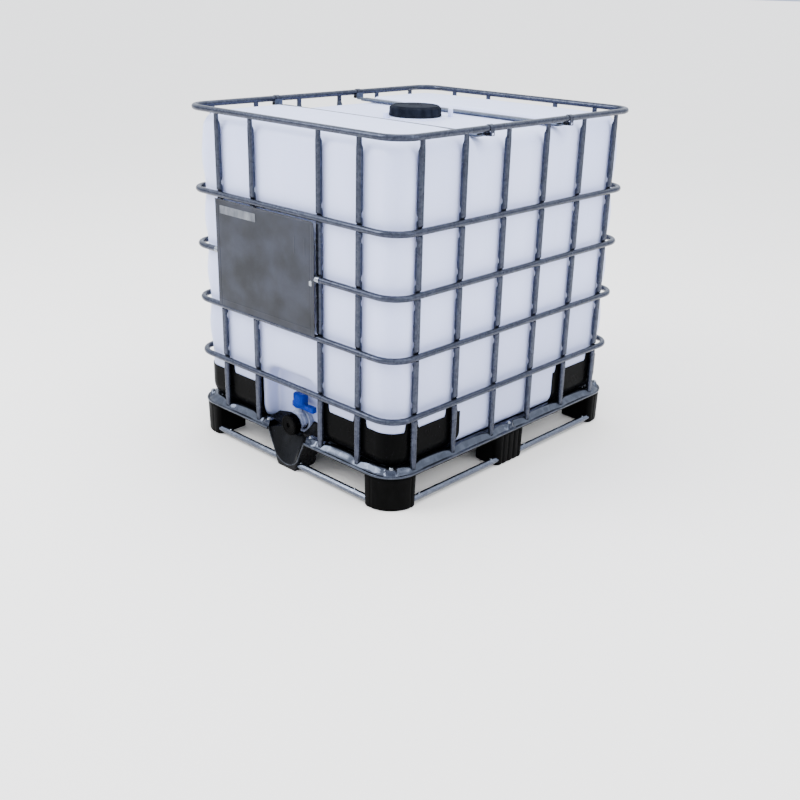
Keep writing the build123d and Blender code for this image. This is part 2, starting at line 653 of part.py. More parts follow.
def valve_disc():
    """Round flap moulded on its stem; closed, it stands across the bore."""
    radius = BORE_R - DISC_GAP
    foot = VALVE_Z - radius + STEM_UP
    disc = rod("y", radius, (0, STEM_Y - DISC_T / 2, VALVE_Z), DISC_T)
    stem = rod("z", STEM_R, (0, STEM_Y, foot), HUB_TOP - HUB_CAP - foot)
    ball = Pos(0, STEM_Y, VALVE_Z) * Sphere(radius)
    return disc + (stem - block(-STEM_R, STEM_R, -LENGTH, 0, 0, VALVE_Z)) + (stem & ball)


def valve_lever():
    """Lever with a round hub on the stem; closed, it points to +X, across the flow."""
    hub = rod("z", HUB_R, (0, STEM_Y, LEVER_Z), HUB_TOP - LEVER_Z)
    hub = fillet(hub.faces().sort_by(Axis.Z)[-1].edges(), HUB_FILLET)
    arm = block(-HUB_R - LEVER_TAIL, LEVER_L, -LEVER_W / 2, LEVER_W / 2, LEVER_Z, LEVER_Z + LEVER_T)
    arm = fillet(arm.edges().filter_by(Axis.Z), LEVER_END_R)
    lever = hub + Pos(0, STEM_Y, 0) * arm
    return lever - rod("z", STEM_R + WELD_GAP, (0, STEM_Y, 0), HUB_TOP - HUB_CAP)


def lever_screw():
    """Cap screw that holds the lever to the stem's top."""
    return rod("z", LEVER_SCREW_R, (0, STEM_Y, HUB_TOP), LEVER_SCREW_H)


def outlet_cap():
    """Screw cap over the spout, with grip flutes and a centre recess."""
    length = CAP_BACK - CAP_FRONT
    cup = rod("y", CAP_R, (0, CAP_FRONT, VALVE_Z), length)
    cup = chamfer(cup.faces().sort_by(Axis.Y)[0].edges(), CAP_CHAMFER)
    cup -= rod("y", NOZZLE_R + RUN_GAP, (0, CAP_FRONT + CAP_WALL, VALVE_Z), length)
    cup -= rod("y", CAP_DIMPLE_R, (0, CAP_FRONT, VALVE_Z), CAP_DIMPLE_T)
    start = (0, CAP_FRONT + CAP_CHAMFER, VALVE_Z + CAP_R + CAP_GROOVE_OFF)
    return cup - round_valve(rod("y", CAP_GROOVE_R, start, length), CAP_GROOVES)


def outlet_cap_gasket():
    start = (0, CAP_FRONT + CAP_WALL, VALVE_Z)
    length = SPOUT_FRONT - RUN_GAP - start[1]
    return rod("y", NOZZLE_R - GASKET_INSET, start, length) - rod("y", BORE_R, start, length)


def build_all():
    for name in RAIL_Z:
        parts[name] = rail(name)
    build_uprights()
    build_bottle()
    parts["lid"] = lid()
    parts["lid_gasket"] = lid_gasket()
    parts["crossbar_front"] = crossbar(-1)
    parts["crossbar_rear"] = crossbar(1)
    parts["crossbar_clamps"] = at_clamps(clamp())
    parts["clamp_bolts"] = at_clamps(clamp_bolt())
    parts["pan"] = pan()
    parts["pan_screws"] = pan_screws()
    parts["pallet_deck"] = deck()
    build_feet()
    parts["skid_ring"] = skid_tube(SKID_D / 2, SKID_WALL)
    build_guards()
    parts["plate"] = plate()
    parts["plate_clips"] = plate_clips()
    parts["valve_body"] = valve_body()
    parts["union_nut"] = union_nut()
    parts["outlet_gasket"] = outlet_gasket()
    parts["valve_disc"] = valve_disc()
    parts["valve_lever"] = valve_lever()
    parts["lever_screw"] = lever_screw()
    parts["outlet_cap"] = outlet_cap()
    parts["outlet_cap_gasket"] = outlet_cap_gasket()


build_all()
os.makedirs("parts", exist_ok=True)
for name, shape in parts.items():
    export_step(shape, f"parts/{name}.step")
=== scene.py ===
import math

import bmesh
import bpy
import numpy as np
import openvdb
from mathutils import Matrix, Vector


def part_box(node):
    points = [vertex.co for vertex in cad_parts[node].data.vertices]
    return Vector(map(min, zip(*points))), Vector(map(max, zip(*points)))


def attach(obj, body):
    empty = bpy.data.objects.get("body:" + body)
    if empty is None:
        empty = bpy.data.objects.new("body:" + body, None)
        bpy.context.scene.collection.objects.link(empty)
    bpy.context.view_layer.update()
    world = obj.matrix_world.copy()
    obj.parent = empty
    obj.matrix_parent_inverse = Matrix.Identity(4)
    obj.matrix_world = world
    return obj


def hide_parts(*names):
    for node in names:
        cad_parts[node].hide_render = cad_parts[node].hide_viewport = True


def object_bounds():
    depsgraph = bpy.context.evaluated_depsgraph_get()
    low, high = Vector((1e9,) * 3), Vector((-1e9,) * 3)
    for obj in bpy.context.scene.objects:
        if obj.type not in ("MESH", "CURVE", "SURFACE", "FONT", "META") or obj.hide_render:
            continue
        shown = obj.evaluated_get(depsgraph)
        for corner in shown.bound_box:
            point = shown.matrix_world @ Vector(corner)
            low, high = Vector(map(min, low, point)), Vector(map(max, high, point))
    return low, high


# Intermediate bulk container: the looks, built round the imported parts. Metres, +Z up.
# The outlet faces -Y, and the long sides face +X and -X.

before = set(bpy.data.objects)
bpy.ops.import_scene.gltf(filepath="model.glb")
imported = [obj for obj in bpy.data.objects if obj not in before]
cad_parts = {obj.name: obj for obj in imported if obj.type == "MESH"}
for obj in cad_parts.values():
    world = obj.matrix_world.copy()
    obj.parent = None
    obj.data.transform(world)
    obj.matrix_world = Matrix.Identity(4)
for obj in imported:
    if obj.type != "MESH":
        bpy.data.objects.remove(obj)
cad_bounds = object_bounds()

# ---- sizes read from the parts ----
LOW, HIGH = (np.array(corner) for corner in cad_bounds)


def low(node):
    return np.array(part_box(node)[0])


def high(node):
    return np.array(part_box(node)[1])


def middle(node):
    return (low(node) + high(node)) / 2


RAILS = ("rail_bottom", "rail_lower", "rail_middle", "rail_upper", "rail_top")
RAIL_Z = [middle(name)[2] for name in RAILS]
RAIL_R = (high("rail_top")[2] - low("rail_top")[2]) / 2
RAIL_HALF_X = high("rail_top")[0] - RAIL_R
RAIL_HALF_Y = high("rail_top")[1] - RAIL_R
UPRIGHTS = [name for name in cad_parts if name.startswith("upright_")]
UPRIGHT_HALF_W = (high("upright_front_1") - low("upright_front_1"))[0] / 2
UPRIGHT_HALF_T = (high("upright_front_1") - low("upright_front_1"))[1] / 2
END_POSTS = [middle(f"upright_front_{n}")[0] for n in (1, 2, 3, 4)]
SIDE_POSTS = [middle(f"upright_right_{n}")[1] for n in (1, 2, 3, 4, 5, 6)]
PAN_TOP = low("bottle")[2]
BOTTLE_HALF_X = high("bottle")[0]
BOTTLE_HALF_Y = high("bottle")[1]
BOTTLE_TOP = high("bottle")[2]
SADDLE_TOP = low("crossbar_rear")[2] - 0.0015
SADDLE_HALF = high("crossbar_rear")[1] + 0.007
NECK_TOP = high("bottle_ports")[2]
RECESS_FLOOR_Y = high("union_nut")[1] + 0.0003
NOZZLE_FRONT = high("outlet_gasket")[1]
NOZZLE_R = high("outlet_gasket")[0]
VALVE_Z = middle("outlet_cap")[2]
STEM_Y = middle("valve_disc")[1]
DECK_BOTTOM = low("pallet_deck")[2]

# ---- shape sizes that a part's box doesn't tell ----
RAIL_CORNER_R = 0.076
PAN_CORNER_R = 0.100
SKID_CORNER_R = 0.082
BOTTLE_CORNER_R = 0.068
BOTTLE_FOOT_R = 0.064
BOTTLE_SHOULDER_R = 0.054
RECESS_HALF = 0.138
RECESS_TOP = 0.332
RECESS_ARCH_R = 0.070
COLLAR_R = 0.098
NECK_R = 0.0765
NECK_BORE_R = 0.073
NOZZLE_BORE_R = 0.025
NOTCH_HALF = 0.095
SCOOP_HEIGHTS = (0.0, 0.030, 0.055, 0.122)
SCOOP_HALVES = (0.0435, 0.0545, 0.0640, 0.0945)
SCOOP_WALL = 0.005
SCOOP_FLOOR = 0.013
SCOOP_TOE = 0.045
GUARD_TOP = 0.2555
GUARD_LUG_HALF = 0.027
GUARD_END_R = 0.045
PLATE_THICKNESS = 0.0009
PLATE_CORNER_R = 0.012
PAN_SHEET = 0.0014


# ---- outlines and grids ----
def smoothstep(value):
    value = np.clip(value, 0, 1)
    return value * value * (3 - 2 * value)


def hump(value, centre, half):
    """1 at the centre, falling smoothly to 0 at half to either side."""
    return smoothstep(1 - np.abs(value - centre) / half)


def between(value, posts):
    """0 at each post and 1 midway between neighbours; 0 beyond the first and last."""
    place = np.interp(value, posts, np.arange(len(posts)))
    return np.sin(np.pi * (place - np.floor(place))) ** 2


def rounded_path(half_x, half_y, radius, step, notch=0.0):
    """Points and outward normals round a rounded rectangle, anticlockwise from the middle of -Y.

    With a notch the path is open: it leaves out that half width at the middle of -Y.
    """
    half_front = np.linspace(notch, half_x - radius, max(2, int((half_x - radius - notch) / step)))
    points = [np.stack((half_front, np.full_like(half_front, -half_y)), -1)[:-1]]
    normals = [np.tile((0.0, -1.0), (len(half_front) - 1, 1))]
    arc_steps = max(6, int(radius * math.pi / 2 / step))
    for corner, (sign_x, sign_y) in enumerate(((1, -1), (1, 1), (-1, 1), (-1, -1))):
        turn = np.radians(np.linspace(-90, 0, arc_steps + 1) + 90 * corner)
        out = np.stack((np.cos(turn), np.sin(turn)), -1)
        centre = np.array((sign_x * (half_x - radius), sign_y * (half_y - radius)))
        points.append(centre + radius * out)
        normals.append(out)
        if corner == 3:
            break
        run = 2 * ((half_y if corner in (0, 2) else half_x) - radius)
        along = np.linspace(0, run, int(run / step) + 1)[1:-1, None]
        tangent = np.array((-out[-1][1], out[-1][0]))
        points.append(points[-1][-1] + along * tangent)
        normals.append(np.tile(out[-1], (len(along), 1)))
    last = -half_front[::-1][1:]
    if notch == 0:
        last = last[:-1]
    points.append(np.stack((last, np.full_like(last, -half_y)), -1))
    normals.append(np.tile((0.0, -1.0), (len(last), 1)))
    return np.concatenate(points), np.concatenate(normals)


def running_length(points):
    steps = np.linalg.norm(np.diff(points, axis=0), axis=1)
    return np.concatenate(((0.0,), np.cumsum(steps)))


def grid_faces(rows, columns, wrap_rows=False, wrap_columns=False, start=0):
    """Quads over a grid of points that is stored row by row."""
    r, c = np.meshgrid(
        np.arange(rows if wrap_rows else rows - 1),
        np.arange(columns if wrap_columns else columns - 1),
        indexing="ij",
    )
    r2 = (r + 1) % rows
    c2 = (c + 1) % columns
    quads = np.stack((r * columns + c, r * columns + c2, r2 * columns + c2, r2 * columns + c), -1)
    return (quads.reshape(-1, 4) + start).tolist()


def end_caps(rows, columns):
    """One flat face over the first row of a tube's grid and one over the last."""
    return [list(range(columns)), list(range((rows - 1) * columns, rows * columns))]


def sheet(front, back, rows, columns):
    """A thin closed sheet between two grids of the same size, with its edge filled in."""
    count = rows * columns
    faces = grid_faces(rows, columns) + grid_faces(rows, columns, start=count)
    edge = [row * columns for row in range(rows)]
    edge += [(rows - 1) * columns + column for column in range(1, columns)]
    edge += [row * columns + columns - 1 for row in range(rows - 2, -1, -1)]
    edge += list(range(columns - 2, 0, -1))
    for first, second in zip(edge, edge[1:] + edge[:1]):
        faces.append([first, second, second + count, first + count])
    return np.concatenate((front, back)), faces


def along_path(points, normals, out, height):
    """Grid of points: for each path point, sections given as distance outwards and height."""
    shape = (len(points), out.shape[-1])
    out = np.broadcast_to(out, shape)
    height = np.broadcast_to(height, shape)
    plan = points[:, None, :] + normals[:, None, :] * out[..., None]
    return np.concatenate((plan, height[..., None]), -1).reshape(-1, 3)


def lathe(radius, height, turns, ripple=None):
    """Profile of radius and height turned round +Z; ripple(angle, step) is added to the radius."""
    angle = np.linspace(0, 2 * math.pi, turns, endpoint=False)[:, None]
    radius = np.broadcast_to(np.array(radius)[None, :], (turns, len(radius))).copy()
    if ripple is not None:
        radius += ripple(angle, np.arange(radius.shape[1])[None, :])
    points = np.stack(
        (radius * np.cos(angle), radius * np.sin(angle), np.broadcast_to(height, radius.shape)), -1
    )
    return points.reshape(-1, 3), grid_faces(turns, radius.shape[1], wrap_rows=True)


# ---- solids from distance fields ----
def rounded_rect(a, b, half_a, half_b, radius):
    """Distance to a rounded rectangle in the plane of a and b; negative inside."""
    qa = np.abs(a) - (half_a - radius)
    qb = np.abs(b) - (half_b - radius)
    outside = np.hypot(np.maximum(qa, 0), np.maximum(qb, 0))
    return outside + np.minimum(np.maximum(qa, qb), 0) - radius


def extruded(flat, along, radius):
    """A flat outline's distance joined with a distance along its axis, with a rounded edge."""
    a = flat + radius
    b = along + radius
    return np.minimum(np.maximum(a, b), 0) + np.hypot(np.maximum(a, 0), np.maximum(b, 0)) - radius


def joined(a, b, blend):
    """Both shapes, with a fillet where they meet."""
    h = np.maximum(blend - np.abs(a - b), 0) / blend
    return np.minimum(a, b) - h * h * blend / 4


def cut(a, b, blend):
    """Shape a without shape b, with a rounded edge."""
    return -joined(-a, b, blend)


def kept(a, b, blend):
    """The part of shape a that lies in shape b."""
    return -joined(-a, -b, blend)


def surface(distance, box_low, box_high, voxel):
    """Quads over the surface where distance(x, y, z) is zero, within a box."""
    start = np.array(box_low) - 3 * voxel
    stop = np.array(box_high) + 3 * voxel
    x, y, z = (np.arange(a, b, voxel) for a, b in zip(start, stop))
    values = distance(x[:, None, None], y[None, :, None], z[None, None, :])
    values = np.broadcast_to(values, (len(x), len(y), len(z)))
    grid = openvdb.FloatGrid(1.0)
    grid.copyFromArray(np.ascontiguousarray(values, dtype=np.float32))
    points, quads = grid.convertToQuads(0.0)
    return start + points.astype(float) * voxel, quads


def mirrored(points, flip_x, flip_y):
    return points * np.array((-1 if flip_x else 1, -1 if flip_y else 1, 1))


def make_piece(name, points, faces, material, slot, body="container", replaces=(), sharp=35):
    """A mesh object that rides on a body, with edges sharper than the angle kept crisp."""
    mesh = bpy.data.meshes.new(name)
    mesh.from_pydata(np.asarray(points, dtype=float).tolist(), [], [list(f) for f in faces])
    work = bmesh.new()
    work.from_mesh(mesh)
    bmesh.ops.remove_doubles(work, verts=work.verts, dist=1e-6)
    bmesh.ops.recalc_face_normals(work, faces=work.faces)
    work.to_mesh(mesh)
    work.free()
    mesh.polygons.foreach_set("use_smooth", [True] * len(mesh.polygons))
    mesh.set_sharp_from_angle(angle=math.radians(sharp))
    mesh.materials.append(material)
    piece = bpy.data.objects.new(name, mesh)
    bpy.context.scene.collection.objects.link(piece)
    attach(piece, body)
    if replaces:
        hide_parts(*replaces)
    return piece


def merged(parts):
    """Several (points, faces) pairs as one."""
    points, faces, count = [], [], 0
    for part_points, part_faces in parts:
        points.append(np.asarray(part_points))
        faces += [[index + count for index in face] for face in part_faces]
        count += len(part_points)
    return np.concatenate(points), faces


# ---- materials ----
def new_material(name):
    material = bpy.data.materials.new(name)
    material.use_nodes = True
    tree = material.node_tree
    shader = tree.nodes["Principled BSDF"]
    place = tree.nodes.new("ShaderNodeTexCoord").outputs["Object"]
    return material, tree, shader, place


def noise(tree, place, scale, detail=3.0, stretch=(1, 1, 1)):
    """Noise over the object's own coordinates, scaled along each axis."""
    mapping = tree.nodes.new("ShaderNodeMapping")
    mapping.inputs["Scale"].default_value = stretch
    texture = tree.nodes.new("ShaderNodeTexNoise")
    texture.inputs["Scale"].default_value = scale
    texture.inputs["Detail"].default_value = detail
    tree.links.new(place, mapping.inputs["Vector"])
    tree.links.new(mapping.outputs["Vector"], texture.inputs["Vector"])
    return texture.outputs["Fac"]


def spangle(tree, place, scale):
    """Random grey for each crystal of the zinc coat."""
    texture = tree.nodes.new("ShaderNodeTexVoronoi")
    texture.inputs["Scale"].default_value = scale
    tree.links.new(place, texture.inputs["Vector"])
    split = tree.nodes.new("ShaderNodeSeparateColor")
    tree.links.new(texture.outputs["Color"], split.inputs["Color"])
    return split.outputs["Red"]


def spread(tree, value, low_in, high_in, low_out, high_out):
    """The value's range low_in..high_in spread over low_out..high_out, clamped."""
    node = tree.nodes.new("ShaderNodeMapRange")
    for name, number in (("From Min", low_in), ("From Max", high_in),
                         ("To Min", low_out), ("To Max", high_out)):
        node.inputs[name].default_value = number
    tree.links.new(value, node.inputs["Value"])
    return node.outputs["Result"]


def two_tone(tree, value, dark, light, low_in=0.3, high_in=0.7):
    """A colour between dark and light, by the value."""
    ramp = tree.nodes.new("ShaderNodeValToRGB")
    ramp.color_ramp.elements[0].position = low_in
    ramp.color_ramp.elements[0].color = (*dark, 1)
    ramp.color_ramp.elements[1].position = high_in
    ramp.color_ramp.elements[1].color = (*light, 1)
    tree.links.new(value, ramp.inputs["Fac"])
    return ramp.outputs["Color"]


def mixed(tree, factor, first, second):
    """Two colours mixed by a factor; the second may be a plain colour."""
    node = tree.nodes.new("ShaderNodeMix")
    node.data_type = "RGBA"
    tree.links.new(factor, node.inputs["Factor"])
    tree.links.new(first, node.inputs["A"])
    if isinstance(second, tuple):
        node.inputs["B"].default_value = (*second, 1)
    else:
        tree.links.new(second, node.inputs["B"])
    return node.outputs["Result"]


def bumped(tree, shader, *layers):
    """Height layers of (value, strength, distance) stacked on the shader's normal."""
    normal = None
    for value, strength, distance in layers:
        node = tree.nodes.new("ShaderNodeBump")
        node.inputs["Strength"].default_value = strength
        node.inputs["Distance"].default_value = distance
        tree.links.new(value, node.inputs["Height"])
        if normal is not None:
            tree.links.new(normal, node.inputs["Normal"])
        normal = node.outputs["Normal"]
    tree.links.new(normal, shader.inputs["Normal"])


def zinc(name, dark, light, rough, crystal=130.0, metal=0.85):
    """Hot-dip galvanised steel: crystals, faint streaks and dull patches."""
    material, tree, shader, place = new_material(name)
    crystals = spangle(tree, place, crystal)
    patches = noise(tree, place, 9.0, 4.0)
    grime = noise(tree, place, 38.0, 5.0, (1, 1, 0.35))
    colour = two_tone(tree, crystals, dark, light, 0.0, 1.0)
    shade = tuple(0.62 * value for value in dark)
    colour = mixed(tree, spread(tree, grime, 0.55, 0.80, 0.0, 0.55), colour, shade)
    tree.links.new(colour, shader.inputs["Base Color"])
    shader.inputs["Metallic"].default_value = metal
    tree.links.new(spread(tree, patches, 0.3, 0.7, rough - 0.07, rough + 0.10),
                   shader.inputs["Roughness"])
    bumped(tree, shader, (grime, 0.14, 0.0005), (crystals, 0.05, 0.0003))
    return material


def polyethylene(name):
    """Natural blow-moulded polyethylene: milky, soft sheen, faint drawn streaks, and painted shade that
    darkens it towards the bottom.
    """
    material, tree, shader, place = new_material(name)
    clouds = noise(tree, place, 2.6, 3.0)
    streaks = noise(tree, place, 16.0, 4.0, (1, 1, 0.07))
    grain = noise(tree, place, 900.0, 2.0)
    colour = two_tone(tree, clouds, (0.58, 0.635, 0.93), (0.62, 0.67, 0.965))
    colour = mixed(tree, spread(tree, streaks, 0.45, 0.75, 0.0, 0.5), colour, (0.55, 0.60, 0.85))
    # Painted shade: the colour grows darker towards the bottom of the bottle.
    split = tree.nodes.new("ShaderNodeSeparateXYZ")
    tree.links.new(place, split.inputs["Vector"])
    painted_low_shade = spread(tree, split.outputs["Z"], 0.18, 0.62, 0.9, 0.0)
    colour = mixed(tree, painted_low_shade, colour, (0.37, 0.41, 0.61))
    tree.links.new(colour, shader.inputs["Base Color"])
    tree.links.new(spread(tree, streaks, 0.3, 0.7, 0.36, 0.48), shader.inputs["Roughness"])
    shader.inputs["Subsurface Weight"].default_value = 0.35
    shader.inputs["Subsurface Radius"].default_value = (1.0, 1.0, 1.0)
    shader.inputs["Subsurface Scale"].default_value = 0.02
    shader.inputs["IOR"].default_value = 1.51
    bumped(tree, shader, (clouds, 0.25, 0.006), (streaks, 0.20, 0.0012), (grain, 0.08, 0.0002))
    return material


def moulded(name, dark, light, rough, grain_scale=700.0, dust=0.25, gloss=0.12):
    """Moulded plastic: fine grain, scuffs, and dust where it faces up."""
    material, tree, shader, place = new_material(name)
    scuffs = noise(tree, place, 45.0, 6.0, (1, 1, 0.5))
    grain = noise(tree, place, grain_scale, 2.0)
    colour = two_tone(tree, scuffs, dark, light, 0.35, 0.75)
    geometry = tree.nodes.new("ShaderNodeNewGeometry")
    split = tree.nodes.new("ShaderNodeSeparateXYZ")
    tree.links.new(geometry.outputs["Normal"], split.inputs["Vector"])
    upward = spread(tree, split.outputs["Z"], 0.4, 1.0, 0.0, dust)
    grey = tuple(0.7 * value + 0.10 for value in light)
    colour = mixed(tree, upward, colour, grey)
    tree.links.new(colour, shader.inputs["Base Color"])
    tree.links.new(spread(tree, scuffs, 0.3, 0.7, rough - 0.06, rough + 0.10),
                   shader.inputs["Roughness"])
    shader.inputs["Specular IOR Level"].default_value = gloss
    bumped(tree, shader, (grain, 0.18, 0.0003), (scuffs, 0.10, 0.0005))
    return material


def scuffed_sheet(name):
    """Dull zinc sheet, rubbed and faintly streaked, with a few bright scratches."""
    material, tree, shader, place = new_material(name)
    rubs = noise(tree, place, 9.0, 6.0, (1.0, 1, 1.2))
    smears = noise(tree, place, 26.0, 6.0, (1.0, 1, 0.8))
    scratches = noise(tree, place, 60.0, 2.0, (2.2, 1, 0.22))
    grain = noise(tree, place, 600.0, 2.0)
    colour = two_tone(tree, rubs, (0.0130, 0.0142, 0.0180), (0.0225, 0.0255, 0.0400), 0.34, 0.66)
    colour = mixed(tree, spread(tree, smears, 0.45, 0.75, 0.0, 0.4), colour, (0.015, 0.016, 0.019))
    colour = mixed(tree, spread(tree, scratches, 0.76, 0.80, 0.0, 0.8), colour, (0.11, 0.12, 0.14))
    tree.links.new(colour, shader.inputs["Base Color"])
    shader.inputs["Metallic"].default_value = 0.45
    tree.links.new(spread(tree, rubs, 0.3, 0.7, 0.64, 0.50), shader.inputs["Roughness"])
    bumped(tree, shader, (smears, 0.25, 0.0008), (grain, 0.12, 0.0003))
    return material


def floor_paint(name):
    """Pale, plain studio floor."""
    material, tree, shader, place = new_material(name)
    clouds = noise(tree, place, 1.4, 3.0)
    colour = two_tone(tree, clouds, (0.985, 0.945, 0.90), (0.998, 0.955, 0.91))
    tree.links.new(colour, shader.inputs["Base Color"])
    shader.inputs["Roughness"].default_value = 0.75
    return material


CAGE = zinc("cage_zinc", (0.023, 0.027, 0.043), (0.047, 0.053, 0.076), 0.25)
CROSS = zinc("crossbar_zinc", (0.050, 0.060, 0.088), (0.075, 0.088, 0.120), 0.40)
PAN = zinc("pan_zinc", (0.038, 0.044, 0.060), (0.062, 0.070, 0.093), 0.14, 60.0, 0.97)
SKID = zinc("skid_zinc", (0.072, 0.082, 0.112), (0.125, 0.140, 0.180), 0.18, 160.0, 0.95)
BRIGHT = zinc("screw_zinc", (0.20, 0.22, 0.26), (0.30, 0.32, 0.36), 0.24, 400.0, 0.95)
BLACK_BOLT = moulded("bolt_black", (0.003, 0.003, 0.004), (0.008, 0.008, 0.010),
                     0.35, 900.0, 0.02, 0.08)
SHEET = scuffed_sheet("plate_zinc")
BOTTLE = polyethylene("bottle_hdpe")
GUARD = moulded("guard_black", (0.0006, 0.0006, 0.0007), (0.0014, 0.0015, 0.0015),
                0.30, 500.0, 0.0, 0.022)
PALLET = moulded("pallet_black", (0.0008, 0.0008, 0.0008), (0.0020, 0.0020, 0.0020),
                 0.40, 420.0, 0.0, 0.025)
GLOSS = moulded("outlet_black", (0.0012, 0.0013, 0.0018), (0.0026, 0.0029, 0.0042),
                0.26, 700.0, 0.0, 0.10)
# Lighter grey for the outlet foot's lip: a painted highlight line along its edge.
PAINTED_LIP_HIGHLIGHT = moulded("lip_highlight_paint", (0.018, 0.020, 0.026), (0.060, 0.065, 0.078), 0.40, 500.0, 0.0, 0.15)
LID = moulded("lid_black", (0.0070, 0.0082, 0.0125), (0.0150, 0.0175, 0.0255),
              0.40, 650.0, 0.0, 0.004)
CAP = moulded("cap_black", (0.0004, 0.0004, 0.0005), (0.0010, 0.0010, 0.0011),
              0.30, 800.0, 0.0, 0.018)
WHITE = moulded("valve_white", (0.20, 0.23, 0.34), (0.28, 0.31, 0.42), 0.30, 900.0, 0.02, 0.15)
BLUE = moulded("lever_blue", (0.0012, 0.015, 0.17), (0.0022, 0.023, 0.25), 0.27, 800.0, 0.0, 0.05)
RUBBER = moulded("seal_rubber", (0.002, 0.002, 0.002), (0.005, 0.005, 0.005),
                 0.68, 1200.0, 0.0, 0.03)
LABEL = moulded("label_film", (0.085, 0.090, 0.105), (0.19, 0.20, 0.22), 0.55, 160.0, 0.0, 0.10)


# ---- bottle ----
def bottle_distance(x, y, z):
    """Blow-moulded bottle: two humps on top, bulged cells and corners, and an arched recess."""
    centre_z = (PAN_TOP + BOTTLE_TOP) / 2
    half_z = (BOTTLE_TOP - PAN_TOP) / 2
    upper = smoothstep((z - centre_z) / half_z)
    to_edge = (x / BOTTLE_HALF_X) ** 4 + (np.abs(y) / BOTTLE_HALF_Y) ** 6
    saddle = (BOTTLE_TOP - SADDLE_TOP) * (1 - smoothstep((np.abs(y) - SADDLE_HALF + 0.004) / 0.026))
    drop = upper * (saddle + 0.004 * to_edge)
    plan = rounded_rect(x, y, BOTTLE_HALF_X, BOTTLE_HALF_Y, BOTTLE_CORNER_R)
    edge = np.where(z > centre_z, BOTTLE_SHOULDER_R, BOTTLE_FOOT_R)
    shell = extruded(plan, np.abs(z + drop - centre_z) - half_z, edge)

    rows = between(z, [0.30] + RAIL_Z[1:4] + [1.10])
    on_side = smoothstep((np.abs(x) / BOTTLE_HALF_X - 0.9) * 10) * between(y, SIDE_POSTS)
    on_end = smoothstep((np.abs(y) / BOTTLE_HALF_Y - 0.9) * 10) * between(x, END_POSTS)
    past_x = smoothstep((np.abs(x) - END_POSTS[-1] - 0.02) / 0.08)
    past_y = smoothstep((np.abs(y) - SIDE_POSTS[-1] + 0.01) / 0.05)
    shell = shell - rows * (0.0042 * on_side + 0.0036 * on_end + 0.008 * past_x * past_y)

    arch = rounded_rect(x, z - RECESS_TOP / 2, RECESS_HALF, RECESS_TOP / 2, RECESS_ARCH_R)
    return cut(shell, extruded(arch, y - RECESS_FLOOR_Y, 0.012), 0.022)


def ports_distance(x, y, z):
    """Fill neck on its collar, and the nozzle in the recess."""
    around = np.hypot(x, y)
    collar_half = (low("lid")[2] - 0.002 - SADDLE_TOP + 0.006) / 2
    collar = extruded(around - COLLAR_R, np.abs(z - SADDLE_TOP + 0.006 - collar_half) - collar_half, 0.002)
    neck = extruded(around - NECK_R, np.abs(z - NECK_TOP + 0.020) - 0.020, 0.002)
    shape = joined(collar, neck, 0.004)
    shape = cut(shape, around - NECK_BORE_R, 0.001)
    off_axis = np.hypot(x, z - VALVE_Z)
    half = (RECESS_FLOOR_Y - NOZZLE_FRONT) / 2 + 0.001
    nozzle = extruded(off_axis - NOZZLE_R, np.abs(y - NOZZLE_FRONT - half) - half, 0.001)
    nozzle = np.maximum(nozzle, NOZZLE_BORE_R - off_axis)
    return np.where(z < BOTTLE_TOP / 2, nozzle, shape)


def lid_stop(x0, y0, top):
    """Small upright lug on the bottle's top beside the lid."""
    base = SADDLE_TOP - 0.004

    def distance(x, y, z):
        plan = rounded_rect(x - x0, y - y0, 0.0085, 0.0055, 0.004)
        return extruded(plan, np.abs(z - (top + base) / 2) - (top - base) / 2, 0.0035)
    return surface(distance, (x0 - 0.01, y0 - 0.01, base), (x0 + 0.01, y0 + 0.01, top), 0.0012)


def build_bottle():
    box_high = (BOTTLE_HALF_X + 0.008, BOTTLE_HALF_Y + 0.008, BOTTLE_TOP)
    box_low = (-box_high[0], -box_high[1], PAN_TOP)
    points, faces = surface(bottle_distance, box_low, box_high, 0.005)
    make_piece("bottle_shell", points, faces, BOTTLE, "bottle_plastic", replaces=("bottle",), sharp=80)

    neck_low = (-COLLAR_R, -COLLAR_R, SADDLE_TOP - 0.006)
    neck = surface(ports_distance, neck_low, (COLLAR_R, COLLAR_R, NECK_TOP), 0.0015)
    nozzle_low = (-NOZZLE_R, NOZZLE_FRONT, VALVE_Z - NOZZLE_R)
    nozzle_high = (NOZZLE_R, RECESS_FLOOR_Y + 0.002, VALVE_Z + NOZZLE_R)
    nozzle = surface(ports_distance, nozzle_low, nozzle_high, 0.0012)
    make_piece("bottle_mouths", *merged([neck, nozzle]), BOTTLE, "bottle_plastic",
               replaces=("bottle_ports",), sharp=50)
    stops = merged([lid_stop(-0.040, -0.101, 1.138), lid_stop(0.066, 0.106, 1.146)])
    make_piece("lid_stops", *stops, BOTTLE, "bottle_plastic")


# ---- cage ----
def tube_ring(half_x, half_y, corner_r, z, radius, step, groove=0.0, groove_at=1.0):
    """Closed ring of round tube; groove presses a line into it at an angle up from outwards."""
    points, normals = rounded_path(half_x, half_y, corner_r, step)
    angle = np.linspace(0, 2 * math.pi, 28, endpoint=False)
    bite = groove * np.exp(-(((angle - groove_at) / 0.16) ** 2))
    out = (radius - bite) * np.cos(angle)
    height = z + (radius - bite) * np.sin(angle)
    grid = along_path(points, normals, out, height)
    return grid, grid_faces(len(points), len(angle), True, True)


def build_rails():
    for name, z in zip(RAILS, RAIL_Z):
        points, faces = tube_ring(RAIL_HALF_X, RAIL_HALF_Y, RAIL_CORNER_R, z, RAIL_R, 0.012)
        make_piece(f"tube_{name}", points, faces, CAGE, "cage_steel", replaces=(name,), sharp=60)


